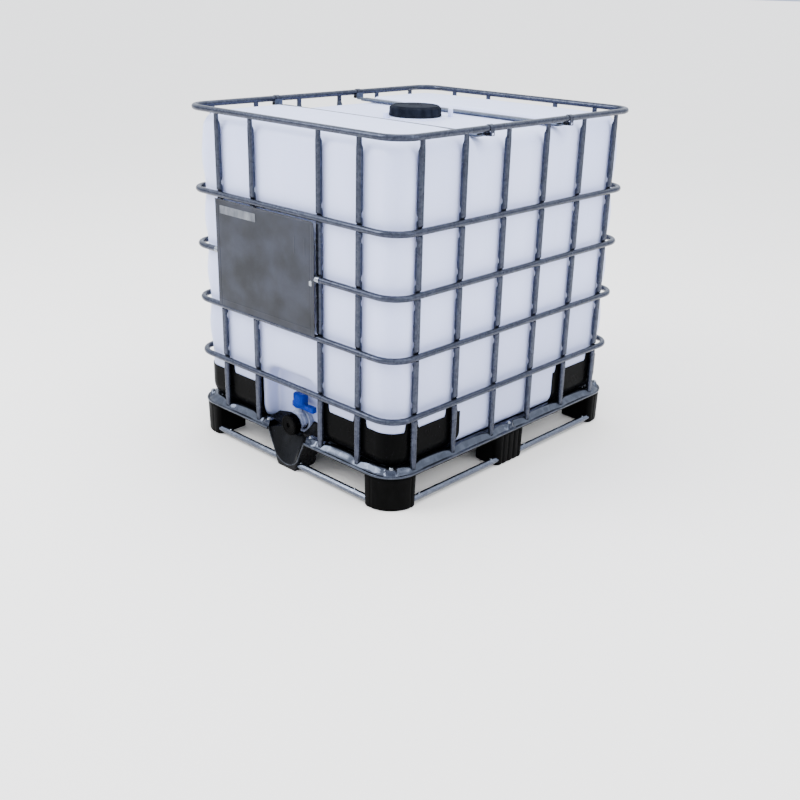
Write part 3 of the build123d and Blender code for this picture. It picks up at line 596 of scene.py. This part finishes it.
def upright_shape():
    """An upright on the -Y side, at x = 0 and y = 0: pinched top, rail seats and side dents."""
    base = low("upright_front_1")[2] - 0.020
    stations = np.arange(base, RAIL_Z[-1] - 0.002, 0.0045)[:, None]
    angle = np.linspace(0, 2 * math.pi, 32, endpoint=False)[None, :]
    squareness = 2 / 2.9
    across = np.sign(np.cos(angle)) * np.abs(np.cos(angle)) ** squareness
    deep = np.sign(np.sin(angle)) * np.abs(np.sin(angle)) ** squareness

    seat = sum(smoothstep((0.015 - np.abs(stations - z)) / 0.008) for z in RAIL_Z[:4])
    dents = sum(hump(stations, z + 0.038, 0.012) for z in RAIL_Z[:4])
    dents = dents + sum(hump(stations, z - 0.038, 0.012) for z in RAIL_Z[1:4])
    pinch = smoothstep((stations - 1.106) / 0.018)
    foot = smoothstep((base + 0.036 - stations) / 0.014)

    front = UPRIGHT_HALF_T - 0.0092 * seat
    back = UPRIGHT_HALF_T - 0.0085 * dents - 0.0095 * pinch - 0.003 * foot
    half_w = UPRIGHT_HALF_W - 0.0018 * pinch - 0.0016 * foot
    narrow = np.where(deep > 0, 1 - 0.34 * dents * deep, 1)
    x = half_w * across * narrow
    y = np.where(deep > 0, back * deep, front * deep)
    crease = 0.0011 * np.exp(-((x / 0.0026) ** 2)) * (1 - np.clip(seat, 0, 1))
    y = y + np.where(deep < -0.5, crease, 0)
    grid = np.stack((x, y, np.broadcast_to(stations, x.shape)), -1)
    rows, columns = x.shape
    return grid.reshape(-1, 3), grid_faces(rows, columns, False, True) + end_caps(rows, columns)


def turned(points, degrees, x, y):
    """Points turned about +Z, then moved to x, y."""
    c = math.cos(math.radians(degrees))
    s = math.sin(math.radians(degrees))
    return np.stack((c * points[:, 0] - s * points[:, 1] + x, s * points[:, 0] + c * points[:, 1] + y,
                     points[:, 2]), -1)


SIDE_TURN = {"front": 0, "right": 90, "rear": 180, "left": -90}


def build_uprights():
    points, faces = upright_shape()
    for name in UPRIGHTS:
        x, y, _ = middle(name)
        placed = turned(points, SIDE_TURN[name.split("_")[1]], x, y)
        make_piece(f"tube_{name}", placed, faces, CAGE, "cage_steel", replaces=(name,), sharp=50)


def weld_bead():
    """A small flattened drop of weld metal at the origin."""
    def distance(x, y, z):
        return np.sqrt((x / 1.0) ** 2 + (y / 0.8) ** 2 + (z / 1.6) ** 2) - 0.0034
    return surface(distance, (-0.0035, -0.003, -0.0056), (0.0035, 0.003, 0.0056), 0.0011)


def build_welds():
    """Beads on both sides of every upright, where it sits against each rail."""
    bead, faces = weld_bead()
    parts = []
    for name in UPRIGHTS:
        x, y, _ = middle(name)
        for z in RAIL_Z[:4]:
            for side in (-1, 1):
                spot = bead + np.array((side * 0.0105, 0.0005, z))
                parts.append((turned(spot, SIDE_TURN[name.split("_")[1]], x, y), faces))
    make_piece("weld_beads", *merged(parts), CAGE, "cage_steel", sharp=70)


# ---- pan ----
def pan_height(inset, post_gap, screw_gap):
    """The pan's top over the floor, by inset from its rim and distance to an upright and a screw."""
    at_screw = smoothstep((0.026 - screw_gap) / 0.014)
    between_posts = smoothstep((post_gap - 0.012) / 0.034)
    roll = 0.0022 * np.sqrt(np.clip(1 - ((inset - 0.0022) / 0.0022) ** 2, 0, 1))
    groove = -0.0016 * hump(inset, 0.0054, 0.0018)
    crest = (0.0260 + 0.0090 * between_posts) * (1 - at_screw) + 0.0145 * at_screw
    bead = smoothstep((inset - 0.0060) / (crest - 0.0060)) * smoothstep((0.0540 - inset) / 0.0150)
    crown = np.maximum(0.86 + 0.14 * between_posts, at_screw)
    ridge = 0.0050 * hump(inset, 0.066, 0.010)
    bead_height = high("pan")[2] - PAN_TOP
    return PAN_TOP - 0.0012 + roll + groove + bead_height * bead * crown + ridge


def gap_along(points, spots):
    """Distance along the path from each of its points to the nearest of the spots."""
    length = running_length(points)
    nearest = np.argmin(np.linalg.norm(points[None] - spots[:, None], axis=2), axis=1)
    return np.min(np.abs(length[:, None] - length[nearest][None, :]), axis=1)[:, None]


def build_pan():
    """Pressed tray: rolled rim, groove, and a bead that drops by the uprights and lifts the screws."""
    points, normals = rounded_path(HIGH[0], HIGH[1], PAN_CORNER_R, 0.006, NOTCH_HALF)
    post_gap = gap_along(points, np.array([middle(name)[:2] for name in UPRIGHTS]))
    screw_gap = gap_along(points, np.array(screw_centres()))

    rim, slope = np.linspace(0, 0.010, 13), np.linspace(0.012, 0.080, 40)
    inset = np.concatenate((rim, slope, (0.1,)))[None, :]
    top = pan_height(inset, post_gap, screw_gap)
    lip_out = np.array((0.0016, 0.0006, 0.0, 0.0))
    rim_low = low("pan")[2]
    lip_z = np.array((rim_low + 0.0010, rim_low, rim_low + 0.0010, PAN_TOP - 0.0028))
    under_inset = np.clip(inset[:, ::-1], 0.0016, None)
    under = top[:, ::-1] - PAN_SHEET
    rows = len(points)
    out = np.concatenate((-np.tile(lip_out, (rows, 1)), -np.tile(inset, (rows, 1)),
                          -np.tile(under_inset, (rows, 1))), 1)
    height = np.concatenate((np.tile(lip_z, (rows, 1)), top, under), 1)
    columns = out.shape[1]
    grid = along_path(points, normals, out, height)
    faces = grid_faces(rows, columns, False, True) + end_caps(rows, columns)
    floor_top = len(lip_out) + inset.shape[1] - 1
    faces.append([row * columns + floor_top for row in range(rows)])
    faces.append([row * columns + floor_top + 1 for row in range(rows)])
    make_piece("pan_tray", grid, faces, PAN, "pan_steel", replaces=("pan",), sharp=40)


def build_pan_screws():
    """Domed hexagon screws on washers."""
    centres = screw_centres()
    turns = 48
    step = math.pi / 3

    def hexagon(angle, index):
        face = 1 / np.cos((angle % step) - step / 2)
        return np.where((index >= 3) & (index <= 5), (face - 1) * 0.0055, 0)

    radius = (0.0085, 0.0085, 0.0080, 0.0055, 0.0055, 0.0048, 0.0)
    height = np.array((0.0, 0.0010, 0.0014, 0.0014, 0.0045, 0.0052, 0.0058))
    points, faces = lathe(radius, height, turns, hexagon)
    seat = high("pan")[2] - 0.0014
    parts = [(points + np.array((x, y, seat)), faces) for x, y in centres]
    make_piece("pan_screw_heads", *merged(parts), BRIGHT, "screw_steel", replaces=("pan_screws",))


def screw_centres():
    """Where the pan's screws stand, read from the screws' own solids."""
    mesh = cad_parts["pan_screws"].data
    where = np.empty(len(mesh.vertices) * 3)
    mesh.vertices.foreach_get("co", where)
    where = where.reshape(-1, 3)[:, :2]
    centres = []
    while len(where):
        near = np.linalg.norm(where - where[0], axis=1) < 0.02
        centres.append((where[near].min(0) + where[near].max(0)) / 2)
        where = where[~near]
    return centres


# ---- pallet ----
def corner_foot_distance(x, y, z):
    """The +X +Y corner foot: drafted walls, rounded sole, shallow flutes on its outer faces."""
    node_low, node_high = low("corner_foot_rear_right"), high("corner_foot_rear_right")
    draft = 0.0015 * (1 - z / DECK_BOTTOM)
    outline = rounded_rect(x, y, node_high[0] - draft, node_high[1] - draft, PAN_CORNER_R - 0.003)
    inner = np.maximum(node_low[0] + draft - x, node_low[1] + draft - y)
    foot = kept(outline, inner, 0.020)
    for flute in (0.035, 0.118):
        groove = np.hypot(x - node_low[0] - flute, y - node_high[1] + draft - 0.0006) - 0.0026
        foot = cut(foot, groove, 0.002)
        groove = np.hypot(y - node_low[1] - flute * 0.8, x - node_high[0] + draft - 0.0006) - 0.0026
        foot = cut(foot, groove, 0.002)
    return extruded(foot, np.abs(z - DECK_BOTTOM / 2) - DECK_BOTTOM / 2, 0.006)


def block_foot_distance(node, outward):
    """A straight foot with drafted walls and upright ribs on the face that looks outward."""
    node_low, node_high = low(node), high(node)
    centre = (node_low + node_high) / 2
    half = (node_high - node_low) / 2

    def distance(x, y, z):
        draft = 0.0015 * (1 - z / DECK_BOTTOM)
        foot = rounded_rect(x - centre[0], y - centre[1], half[0] - draft, half[1] - draft, 0.020)
        if outward is not None:
            sideways = y - centre[1] if outward[0] else x - centre[0]
            face = (x - centre[0]) * outward[0] + (y - centre[1]) * outward[1] - max(
                half[0] * abs(outward[0]), half[1] * abs(outward[1]))
            for place in (-0.042, -0.014, 0.014, 0.042):
                foot = cut(foot, np.hypot(sideways - place, face + draft - 0.0012) - 0.0042, 0.003)
        return extruded(foot, np.abs(z - DECK_BOTTOM / 2) - DECK_BOTTOM / 2, 0.007)
    return distance, node_low, node_high


def scoop_half(z):
    """Half width of the dished front at a height: tapered, with a round toe."""
    toe = np.clip((SCOOP_TOE - z) / (SCOOP_TOE - SCOOP_FLOOR), 0, 1)
    return (np.interp(z, SCOOP_HEIGHTS, SCOOP_HALVES) - SCOOP_WALL) * np.sqrt(1 - toe ** 2)


def outlet_foot_distance(x, y, z):
    """Front middle foot: narrow at the floor, with a dished front and a sloping liner behind."""
    node_low, node_high = low("outlet_foot"), high("outlet_foot")
    front, back = node_low[1], node_high[1]
    half = np.interp(z, SCOOP_HEIGHTS, SCOOP_HALVES)
    flank = (np.abs(x) - half) * 0.91
    block = extruded(flank, np.abs(y - (front + back) / 2) - (back - front) / 2, 0.003)
    foot = extruded(block, np.abs(z - PAN_TOP / 2) - PAN_TOP / 2, 0.003)

    dish_half = scoop_half(z)
    across = np.clip(np.abs(x) / np.maximum(dish_half, 0.001), 0, 1)
    rise = np.clip((z - SCOOP_FLOOR) / (PAN_TOP - SCOOP_FLOOR), 0, 1.4)
    depth = 0.056 * rise ** 1.1 * (1 - across ** 2.6) ** 0.6
    dish = np.maximum(y - front - depth, SCOOP_FLOOR - z)
    dish = np.maximum(dish, np.abs(x) - dish_half)
    foot = cut(foot, dish, 0.003)

    slope = np.clip((y + 0.564) / (back + 0.564), 0, 1)
    liner_top = PAN_TOP + 0.004 + (node_high[2] - PAN_TOP - 0.004) * slope ** 1.4
    liner_top = liner_top - 0.020 * (np.abs(x) / RECESS_HALF) ** 2 * slope
    liner_top = liner_top + 0.016 * smoothstep((np.abs(x) - RECESS_HALF + 0.030) / 0.030) * (1 - slope)
    liner = extruded(np.abs(x) - RECESS_HALF + 0.0015, np.abs(y - (back - 0.023)) - 0.023, 0.004)
    liner = kept(liner, np.maximum(z - liner_top, PAN_TOP - z), 0.003)
    shape = joined(foot, liner, 0.006)
    return cut(shape, np.hypot(x, z - VALVE_Z) - 0.045, 0.003)


def scoop_rim():
    """A thin lip round the outlet foot's dished front, in a lighter grey that paints a highlight line
    along it.
    """
    straight = np.linspace(PAN_TOP - 0.002, SCOOP_TOE, 30)
    round_toe = SCOOP_TOE - (SCOOP_TOE - SCOOP_FLOOR) * np.sin(np.linspace(0.05, 1, 24) * math.pi / 2)
    heights = np.concatenate((straight, round_toe))
    halves = scoop_half(heights) + SCOOP_WALL / 2
    outline_x = np.concatenate((halves, -halves[::-1]))
    outline_z = np.concatenate((heights, heights[::-1]))
    radius = 0.0024
    centre_y = low("outlet_foot")[1] + radius
    angle = np.linspace(0, 2 * math.pi, 12, endpoint=False)
    side = np.stack((np.gradient(outline_z), -np.gradient(outline_x)), -1)
    side /= np.linalg.norm(side, axis=1)[:, None]
    out = radius * np.cos(angle)[None, :]
    x = outline_x[:, None] + side[:, :1] * out
    z = outline_z[:, None] + side[:, 1:] * out
    y = np.broadcast_to(centre_y + radius * np.sin(angle)[None, :], x.shape)
    rows, columns = x.shape
    grid = np.stack((x, y, z), -1).reshape(-1, 3)
    return grid, grid_faces(rows, columns, False, True) + end_caps(rows, columns)


def moulded_foot(node, points, faces, material=PALLET, sharp=60):
    make_piece(f"moulded_{node}", points, faces, material, "pallet_plastic",
               replaces=(node,), sharp=sharp)


def build_pallet():
    corner_low, corner_high = low("corner_foot_rear_right"), high("corner_foot_rear_right")
    points, faces = surface(corner_foot_distance, corner_low, corner_high, 0.0025)
    for end in ("front", "rear"):
        for side in ("left", "right"):
            placed = mirrored(points, side == "left", end == "front")
            node = f"corner_foot_{end}_{side}"
            moulded_foot(node, placed, faces)
    outward = {"side_foot_right": (1, 0), "side_foot_left": (-1, 0), "end_foot_rear": (0, 1),
               "centre_foot": None}
    for node, way in outward.items():
        moulded_foot(node, *surface(*block_foot_distance(node, way), 0.0025))
    points, faces = surface(outlet_foot_distance, low("outlet_foot"), high("outlet_foot"), 0.0016)
    moulded_foot("outlet_foot", points, faces, GLOSS, 50)
    # The lip's lighter grey is a painted highlight.
    make_piece("outlet_foot_lip", *scoop_rim(), PAINTED_LIP_HIGHLIGHT, "pallet_plastic", sharp=70)


def build_skid():
    ring = middle("skid_ring")
    radius = (high("skid_ring")[2] - low("skid_ring")[2]) / 2
    half_x = high("skid_ring")[0] - radius
    half_y = high("skid_ring")[1] - radius
    points, faces = tube_ring(half_x, half_y, SKID_CORNER_R, ring[2], radius, 0.012, 0.0016, 0.75)
    make_piece("skid_tube", points, faces, SKID, "skid_steel", replaces=("skid_ring",), sharp=60)

    head, head_faces = lathe((0.0042, 0.0042, 0.0030, 0.0),
                             np.array((0.0, 0.0014, 0.0026, 0.0030)), 20)
    on_end = (0.060, high("corner_foot_rear_right")[0] - 0.175)
    on_side = (abs(low("side_foot_right")[1]) + 0.020, low("corner_foot_rear_right")[1] - 0.022)
    parts = []
    for side in (-1, 1):
        for end in (-1, 1):
            spots = [(end * x, side * half_y) for x in on_end]
            spots += [(side * half_x, end * y) for y in on_side]
            for x, y in spots:
                parts.append((head + np.array((x, y, ring[2] + radius - 0.0004)), head_faces))
    make_piece("skid_screw_heads", *merged(parts), BRIGHT, "skid_steel")


# ---- corner guards ----
def guard_shape():
    """The +X +Y guard: a skin over the bottle's corner, castellated at the uprights."""
    end_x, end_y = low("corner_guard_rear_right")[:2]
    lug_top = high("corner_guard_rear_right")[2]
    thick_in = high("corner_guard_rear_right")[0] - BOTTLE_HALF_X - 0.003
    points, normals = rounded_path(BOTTLE_HALF_X, BOTTLE_HALF_Y, BOTTLE_CORNER_R, 0.0035)
    inside = (points[:, 0] > end_x - 1e-4) & (points[:, 1] > end_y - 1e-4)
    points, normals = points[inside], normals[inside]
    length = running_length(points)
    posts = [(x, BOTTLE_HALF_Y) for x in END_POSTS if x > 0]
    posts += [(BOTTLE_HALF_X, y) for y in SIDE_POSTS if y > end_y]
    gap = np.full(len(points), 1.0)
    for post in posts:
        place = length[np.argmin(np.linalg.norm(points - np.array(post), axis=1))]
        gap = np.minimum(gap, np.abs(length - place))
    top = GUARD_TOP + (lug_top - GUARD_TOP) * smoothstep((GUARD_LUG_HALF - gap) / 0.007 + 0.5)
    to_end = np.minimum(length, length[-1] - length)
    corner = np.clip(GUARD_END_R - to_end, 0, GUARD_END_R)
    bottom = PAN_TOP + 0.004 + GUARD_END_R - np.sqrt(GUARD_END_R ** 2 - corner ** 2)
    share = np.linspace(0, 1, 34)[None, :]
    height = bottom[:, None] + (top - bottom)[:, None] * share
    drop = np.clip(PAN_TOP + BOTTLE_FOOT_R - height, 0, BOTTLE_FOOT_R)
    inset = BOTTLE_FOOT_R - np.sqrt(np.maximum(BOTTLE_FOOT_R ** 2 - drop ** 2, 0))
    outer = along_path(points, normals, thick_in + 0.003 - inset, height)
    inner = along_path(points, normals, thick_in - inset, height)
    return sheet(outer, inner, *height.shape)


def build_guards():
    points, faces = guard_shape()
    for end in ("front", "rear"):
        for side in ("left", "right"):
            placed = mirrored(points, side == "left", end == "front")
            node = f"corner_guard_{end}_{side}"
            make_piece(f"moulded_{node}", placed, faces, GUARD, "guard_plastic",
                       replaces=(node,), sharp=40)


# ---- plate ----
def plate_relief(x, z, node_low, node_high):
    """How far the sheet stands proud: hem, low pressed line, side bands, ripples and two slots."""
    from_top = node_high[2] - z
    from_low = z - node_low[2]
    hem = 0.0009 * smoothstep((0.0052 - from_top) / 0.0012) - 0.0008 * hump(from_top, 0.0075, 0.0022)
    line = 0.0008 * hump(from_low, 0.021, 0.0026)
    to_side = np.minimum(x - node_low[0], node_high[0] - x)
    side = 0.0006 * smoothstep((0.0160 - to_side) / 0.0015) - 0.0006 * hump(to_side, 0.0180, 0.0022)
    ripple = 0.0003 * np.sin(x * 21 + 1.0) * np.sin(z * 17 + 0.4)
    slots = 0.0
    for place in (0.395, 0.444):
        tall = smoothstep((0.030 - np.abs(z - node_high[2] + 0.085)) / 0.003)
        slots = slots + 0.0007 * hump(x, node_low[0] + place, 0.0028) * tall
    return hem + line + side + ripple + slots - 0.0004


def build_plate():
    node_low, node_high = low("plate"), high("plate")
    width = node_high[0] - node_low[0]
    x = np.linspace(node_low[0], node_high[0], int(width / 0.0022))[:, None]
    low_share, middle_share = np.linspace(0, 0.09, 26), np.linspace(0.1, 0.94, 110)
    share = np.concatenate((low_share, middle_share, np.linspace(0.945, 1, 34)))
    corner = np.clip(PLATE_CORNER_R - (node_high[0] - x), 0, PLATE_CORNER_R)
    top = node_high[2] - PLATE_CORNER_R + np.sqrt(PLATE_CORNER_R ** 2 - corner ** 2)
    z = node_low[2] + (top - node_low[2]) * share[None, :]
    face_y = node_low[1] + 0.0002
    front_y = np.maximum(face_y - plate_relief(x, z, node_low, node_high), LOW[1])
    front = np.stack((np.broadcast_to(x, z.shape), front_y, z), -1).reshape(-1, 3)
    back = front + np.array((0, PLATE_THICKNESS, 0))
    points, faces = sheet(front, back, *z.shape)
    make_piece("plate_sheet", points, faces, SHEET, "plate_steel", replaces=("plate",), sharp=30)

    def label_distance(px, py, pz):
        flat = rounded_rect(px - node_low[0] - 0.116, pz - node_high[2] + 0.0335,
                            0.092, 0.0135, 0.002)
        return extruded(flat, np.abs(py - face_y + 0.0001) - 0.0006, 0.0003)

    def tab_distance(px, py, pz):
        flat = rounded_rect(px - node_high[0] + 0.017, pz - RAIL_Z[2] + 0.016, 0.006, 0.008, 0.002)
        return extruded(flat, np.abs(py - face_y) - 0.0009, 0.0004)

    box_low = (node_low[0], face_y - 0.001, node_high[2] - 0.06)
    box_high = (node_low[0] + 0.212, face_y + 0.001, node_high[2])
    make_piece("plate_label", *surface(label_distance, box_low, box_high, 0.0006), LABEL,
               "plate_steel")
    box_low = (node_high[0] - 0.025, face_y - 0.001, RAIL_Z[2] - 0.04)
    box_high = (node_high[0], face_y + 0.001, RAIL_Z[2])
    make_piece("plate_tab", *surface(tab_distance, box_low, box_high, 0.0005), BRIGHT, "clip_steel")


# ---- lid, cap and valve ----
def build_lid():
    """Screw lid: flange, tapered wall with broad grip lugs, stepped top."""
    bottom, top = low("lid")[2], high("lid")[2]
    radius = (0.0775, 0.0775, 0.0890, 0.0900, 0.0900, 0.0875, 0.0868, 0.0862, 0.0858, 0.0838,
              0.0800, 0.0790, 0.0784, 0.0730, 0.0722, 0.0240, 0.0232, 0.0)
    height = np.array((top - 0.004, bottom, bottom, bottom + 0.0008, bottom + 0.0030, bottom + 0.0040,
                       bottom + 0.0060, bottom + 0.0120, top - 0.0075, top - 0.0040, top - 0.0012,
                       top - 0.0004, top, top, top - 0.0014, top - 0.0006, top - 0.0014, top - 0.0014))

    def lugs(angle, index):
        """Ten lugs on the wall, each with its own flat."""
        wave = np.cos(angle * 10 + 0.5)
        return np.where((index >= 5) & (index <= 8), 0.0026 * smoothstep((wave - 0.62) / 0.16), 0)

    points, faces = lathe(radius, height, 400, lugs)
    make_piece("screw_lid", points, faces, LID, "lid_plastic", "lid", ("lid",), 28)


def facing_front(points, y, z):
    """Turns +Z to -Y, then moves the origin to y, z."""
    return np.stack((points[:, 0], y - points[:, 2], z + points[:, 1]), -1)


def build_cap():
    """Outlet cap: fluted wall, rounded face with a rim and a centre recess."""
    depth = high("outlet_cap")[1] - low("outlet_cap")[1]
    outer = high("outlet_cap")[0]
    radius = (0.0294, 0.0294, outer - 0.002, outer, outer, outer - 0.0012, outer - 0.0050, outer - 0.0075,
              outer - 0.0085, 0.0100, 0.0088, 0.0086, 0.0)
    height = np.array((depth - 0.004, 0.0, 0.0, 0.0012, depth - 0.0060, depth - 0.0022, depth - 0.0002,
                       depth, depth - 0.0012, depth - 0.0006, depth - 0.0010, depth - 0.0042,
                       depth - 0.0046))

    def flutes(angle, index):
        wave = np.cos(angle * 24)
        return np.where((index >= 3) & (index <= 5), -0.0013 * smoothstep((wave - 0.2) / 0.5), 0)

    points, faces = lathe(radius, height, 384, flutes)
    points = facing_front(points, high("outlet_cap")[1], VALVE_Z)
    make_piece("screw_cap", points, faces, CAP, "cap_plastic", "cap", ("outlet_cap",), 28)


def valve_body_distance(x, y, z):
    """Short pipe with a collar at the back, a threaded spout and a bonnet round the stem."""
    node_low, node_high = low("valve_body"), high("valve_body")
    radius = node_high[0]
    back = node_high[1]
    around = np.hypot(x, z - VALVE_Z)
    front = back - (node_high[1] - node_low[1]) * 0.54
    pipe = extruded(around - radius + 0.0012, np.abs(y - (front + back) / 2) - (back - front) / 2, 0.003)
    for place in (front + 0.004, back - 0.013):
        pipe = joined(pipe, extruded(around - radius, np.abs(y - place) - 0.0025, 0.001), 0.001)
    thread = 0.0008 * np.cos((y - front) * 2 * math.pi / 0.006)
    along_spout = np.abs(y - (node_low[1] + front) / 2) - (front - node_low[1]) / 2
    spout = extruded(around - 0.0280 - thread, along_spout, 0.001)
    at_stem = np.hypot(x, y - STEM_Y)
    up_bonnet = np.abs(z - (VALVE_Z + node_high[2]) / 2) - (node_high[2] - VALVE_Z) / 2
    bonnet = extruded(at_stem - 0.013, up_bonnet, 0.0015)
    foot = extruded(at_stem - 0.019, np.abs(z - VALVE_Z - radius + 0.004) - 0.008, 0.002)
    body = joined(joined(pipe, spout, 0.002), joined(bonnet, foot, 0.004), 0.006)
    body = np.maximum(body, -(around - 0.0250))
    return np.maximum(body, -(at_stem - 0.00608) + np.where(z < VALVE_Z, 1.0, 0.0))


def lever_distance(x, y, z):
    """Lever: hub under a long ribbed head, arm with a sunk top, thumb ribs and a short tail."""
    node_low, node_high = low("valve_lever"), high("valve_lever")
    hub_r = (node_high[1] - node_low[1]) / 2
    y = y - STEM_Y
    at_stem = np.hypot(x, y)
    base, top = node_low[2], node_high[2]
    up_hub = np.abs(z - (base + top) / 2 + 0.003) - (top - base) / 2 + 0.003
    hub = extruded(at_stem - hub_r + 0.0030, up_hub, 0.004)
    crown = rounded_rect(x - 0.012, y, 0.026, hub_r - 0.001, 0.014)
    crown = extruded(crown, np.abs(z - (base + top) / 2 - 0.005) - (top - base) / 2 + 0.0055, 0.006)
    hub = joined(hub, crown - 0.0007 * np.cos(x * 1100) * (z < top - 0.004), 0.004)
    reach = (node_low[0] + node_high[0]) / 2
    half = (node_high[0] - node_low[0]) / 2
    taper = 0.0105 - 0.0022 * hump(x, 0.040, 0.030)
    arm = rounded_rect(x - reach, y, half - 0.0005, taper, 0.007)
    arm = extruded(arm, np.abs(z - base - 0.010) - 0.0098, 0.003)
    sunk = rounded_rect(x - 0.052, y, 0.024, 0.0052, 0.004)
    arm = cut(arm, extruded(sunk, base + 0.0165 - z, 0.001), 0.0015)
    for place in range(5):
        rib = np.hypot(x - 0.036 - 0.008 * place, z - base - 0.0168) - 0.0012
        arm = joined(arm, np.maximum(rib, np.abs(y) - 0.0055), 0.001)
    lever = joined(hub, arm, 0.005)
    stem_hole = np.maximum(at_stem - 0.0063, z - top + 0.005)
    return np.maximum(lever, -stem_hole)


def build_valve():
    body = surface(valve_body_distance, low("valve_body"), high("valve_body"), 0.0011)
    make_piece("outlet_valve_body", *body, WHITE, "valve_plastic",
               replaces=("valve_body",), sharp=45)
    lever = surface(lever_distance, low("valve_lever"), high("valve_lever"), 0.0009)
    make_piece("blue_lever", *lever, BLUE, "lever_plastic", "valve_handle", ("valve_lever",), 45)


# ---- parts shown as they are, with their materials ----
KEPT = {
    "pallet_deck": PALLET, "crossbar_front": CROSS, "crossbar_rear": CROSS, "crossbar_clamps": CAGE,
    "clamp_bolts": BLACK_BOLT, "plate_clips": BRIGHT, "union_nut": WHITE, "valve_disc": WHITE,
    "outlet_gasket": RUBBER, "lid_gasket": RUBBER, "outlet_cap_gasket": RUBBER, "lever_screw": BRIGHT,
}


def dress_kept_parts():
    for name, material in KEPT.items():
        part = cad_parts[name]
        for place in part.material_slots:
            place.material = material


# ---- stage ----
CAMERA_AT = (2.4371, -2.6216, 1.5424)
CAMERA_YAW, CAMERA_PITCH, CAMERA_ROLL = (math.radians(angle) for angle in (43.361, 22.206, 1.370))
CAMERA_LENS = 46.169
FLOOR_REACH = 160.0
WORLD_STRENGTH = 2.75


def build_camera():
    """Pinhole camera: yaw from +Y towards -X, pitch down, roll anticlockwise."""
    forward = np.array((-math.sin(CAMERA_YAW) * math.cos(CAMERA_PITCH),
                        math.cos(CAMERA_YAW) * math.cos(CAMERA_PITCH), -math.sin(CAMERA_PITCH)))
    right = np.array((math.cos(CAMERA_YAW), math.sin(CAMERA_YAW), 0.0))
    up = np.cross(right, forward)
    rolled_right = math.cos(CAMERA_ROLL) * right + math.sin(CAMERA_ROLL) * up
    rolled_up = -math.sin(CAMERA_ROLL) * right + math.cos(CAMERA_ROLL) * up
    camera = bpy.data.objects.new("camera", bpy.data.cameras.new("camera"))
    bpy.context.scene.collection.objects.link(camera)
    camera.data.sensor_width = 36.0
    camera.data.lens = CAMERA_LENS
    place = Matrix.Identity(4)
    for column, axis in enumerate((rolled_right, rolled_up, -forward, CAMERA_AT)):
        for row in range(3):
            place[row][column] = axis[row]
    camera.matrix_world = place
    bpy.context.scene.camera = camera


def area_light(name, at, aim, size, power, colour):
    light = bpy.data.lights.new(name, "AREA")
    light.shape = "RECTANGLE"
    light.size, light.size_y = size
    light.energy = power
    light.color = colour
    lamp = bpy.data.objects.new(name, light)
    bpy.context.scene.collection.objects.link(lamp)
    lamp.location = at
    away = Vector(at) - Vector(aim)
    lamp.rotation_mode = "QUATERNION"
    lamp.rotation_quaternion = away.to_track_quat("Z", "Y")


def build_stage():
    floor_mesh = bpy.data.meshes.new("floor")
    corners = [(x * FLOOR_REACH, y * FLOOR_REACH, 0) for x, y in ((-1, -1), (1, -1), (1, 1), (-1, 1))]
    floor_mesh.from_pydata(corners, [], [(0, 1, 2, 3)])
    floor_mesh.materials.append(floor_paint("floor_pale"))
    floor = bpy.data.objects.new("floor", floor_mesh)
    bpy.context.scene.collection.objects.link(floor)

    world = bpy.data.worlds.new("studio")
    bpy.context.scene.world = world
    world.use_nodes = True
    tree = world.node_tree
    place = tree.nodes.new("ShaderNodeTexCoord").outputs["Generated"]
    split = tree.nodes.new("ShaderNodeSeparateXYZ")
    tree.links.new(place, split.inputs["Vector"])
    colour = two_tone(tree, split.outputs["Z"], (0.29, 0.33, 0.43), (0.90, 0.945, 1.0), 0.02, 0.55)
    tree.links.new(colour, tree.nodes["Background"].inputs["Color"])
    tree.nodes["Background"].inputs["Strength"].default_value = WORLD_STRENGTH

    area_light("key", (-2.2, -3.4, 3.6), (0, 0, 0.6), (2.6, 2.6), 230.0, (0.94, 0.97, 1.0))
    area_light("fill", (4.2, 0.8, 2.8), (0, 0, 0.5), (2.4, 2.4), 90.0, (0.94, 0.97, 1.0))
    area_light("top", (0.2, 0.4, 4.4), (0, 0, 1.0), (3.0, 3.0), 90.0, (1.0, 1.0, 1.0))


build_camera()
build_bottle()
build_rails()
build_uprights()
build_welds()
build_pan()
build_pan_screws()
build_pallet()
build_skid()
build_guards()
build_plate()
build_lid()
build_cap()
build_valve()
dress_kept_parts()
build_stage()
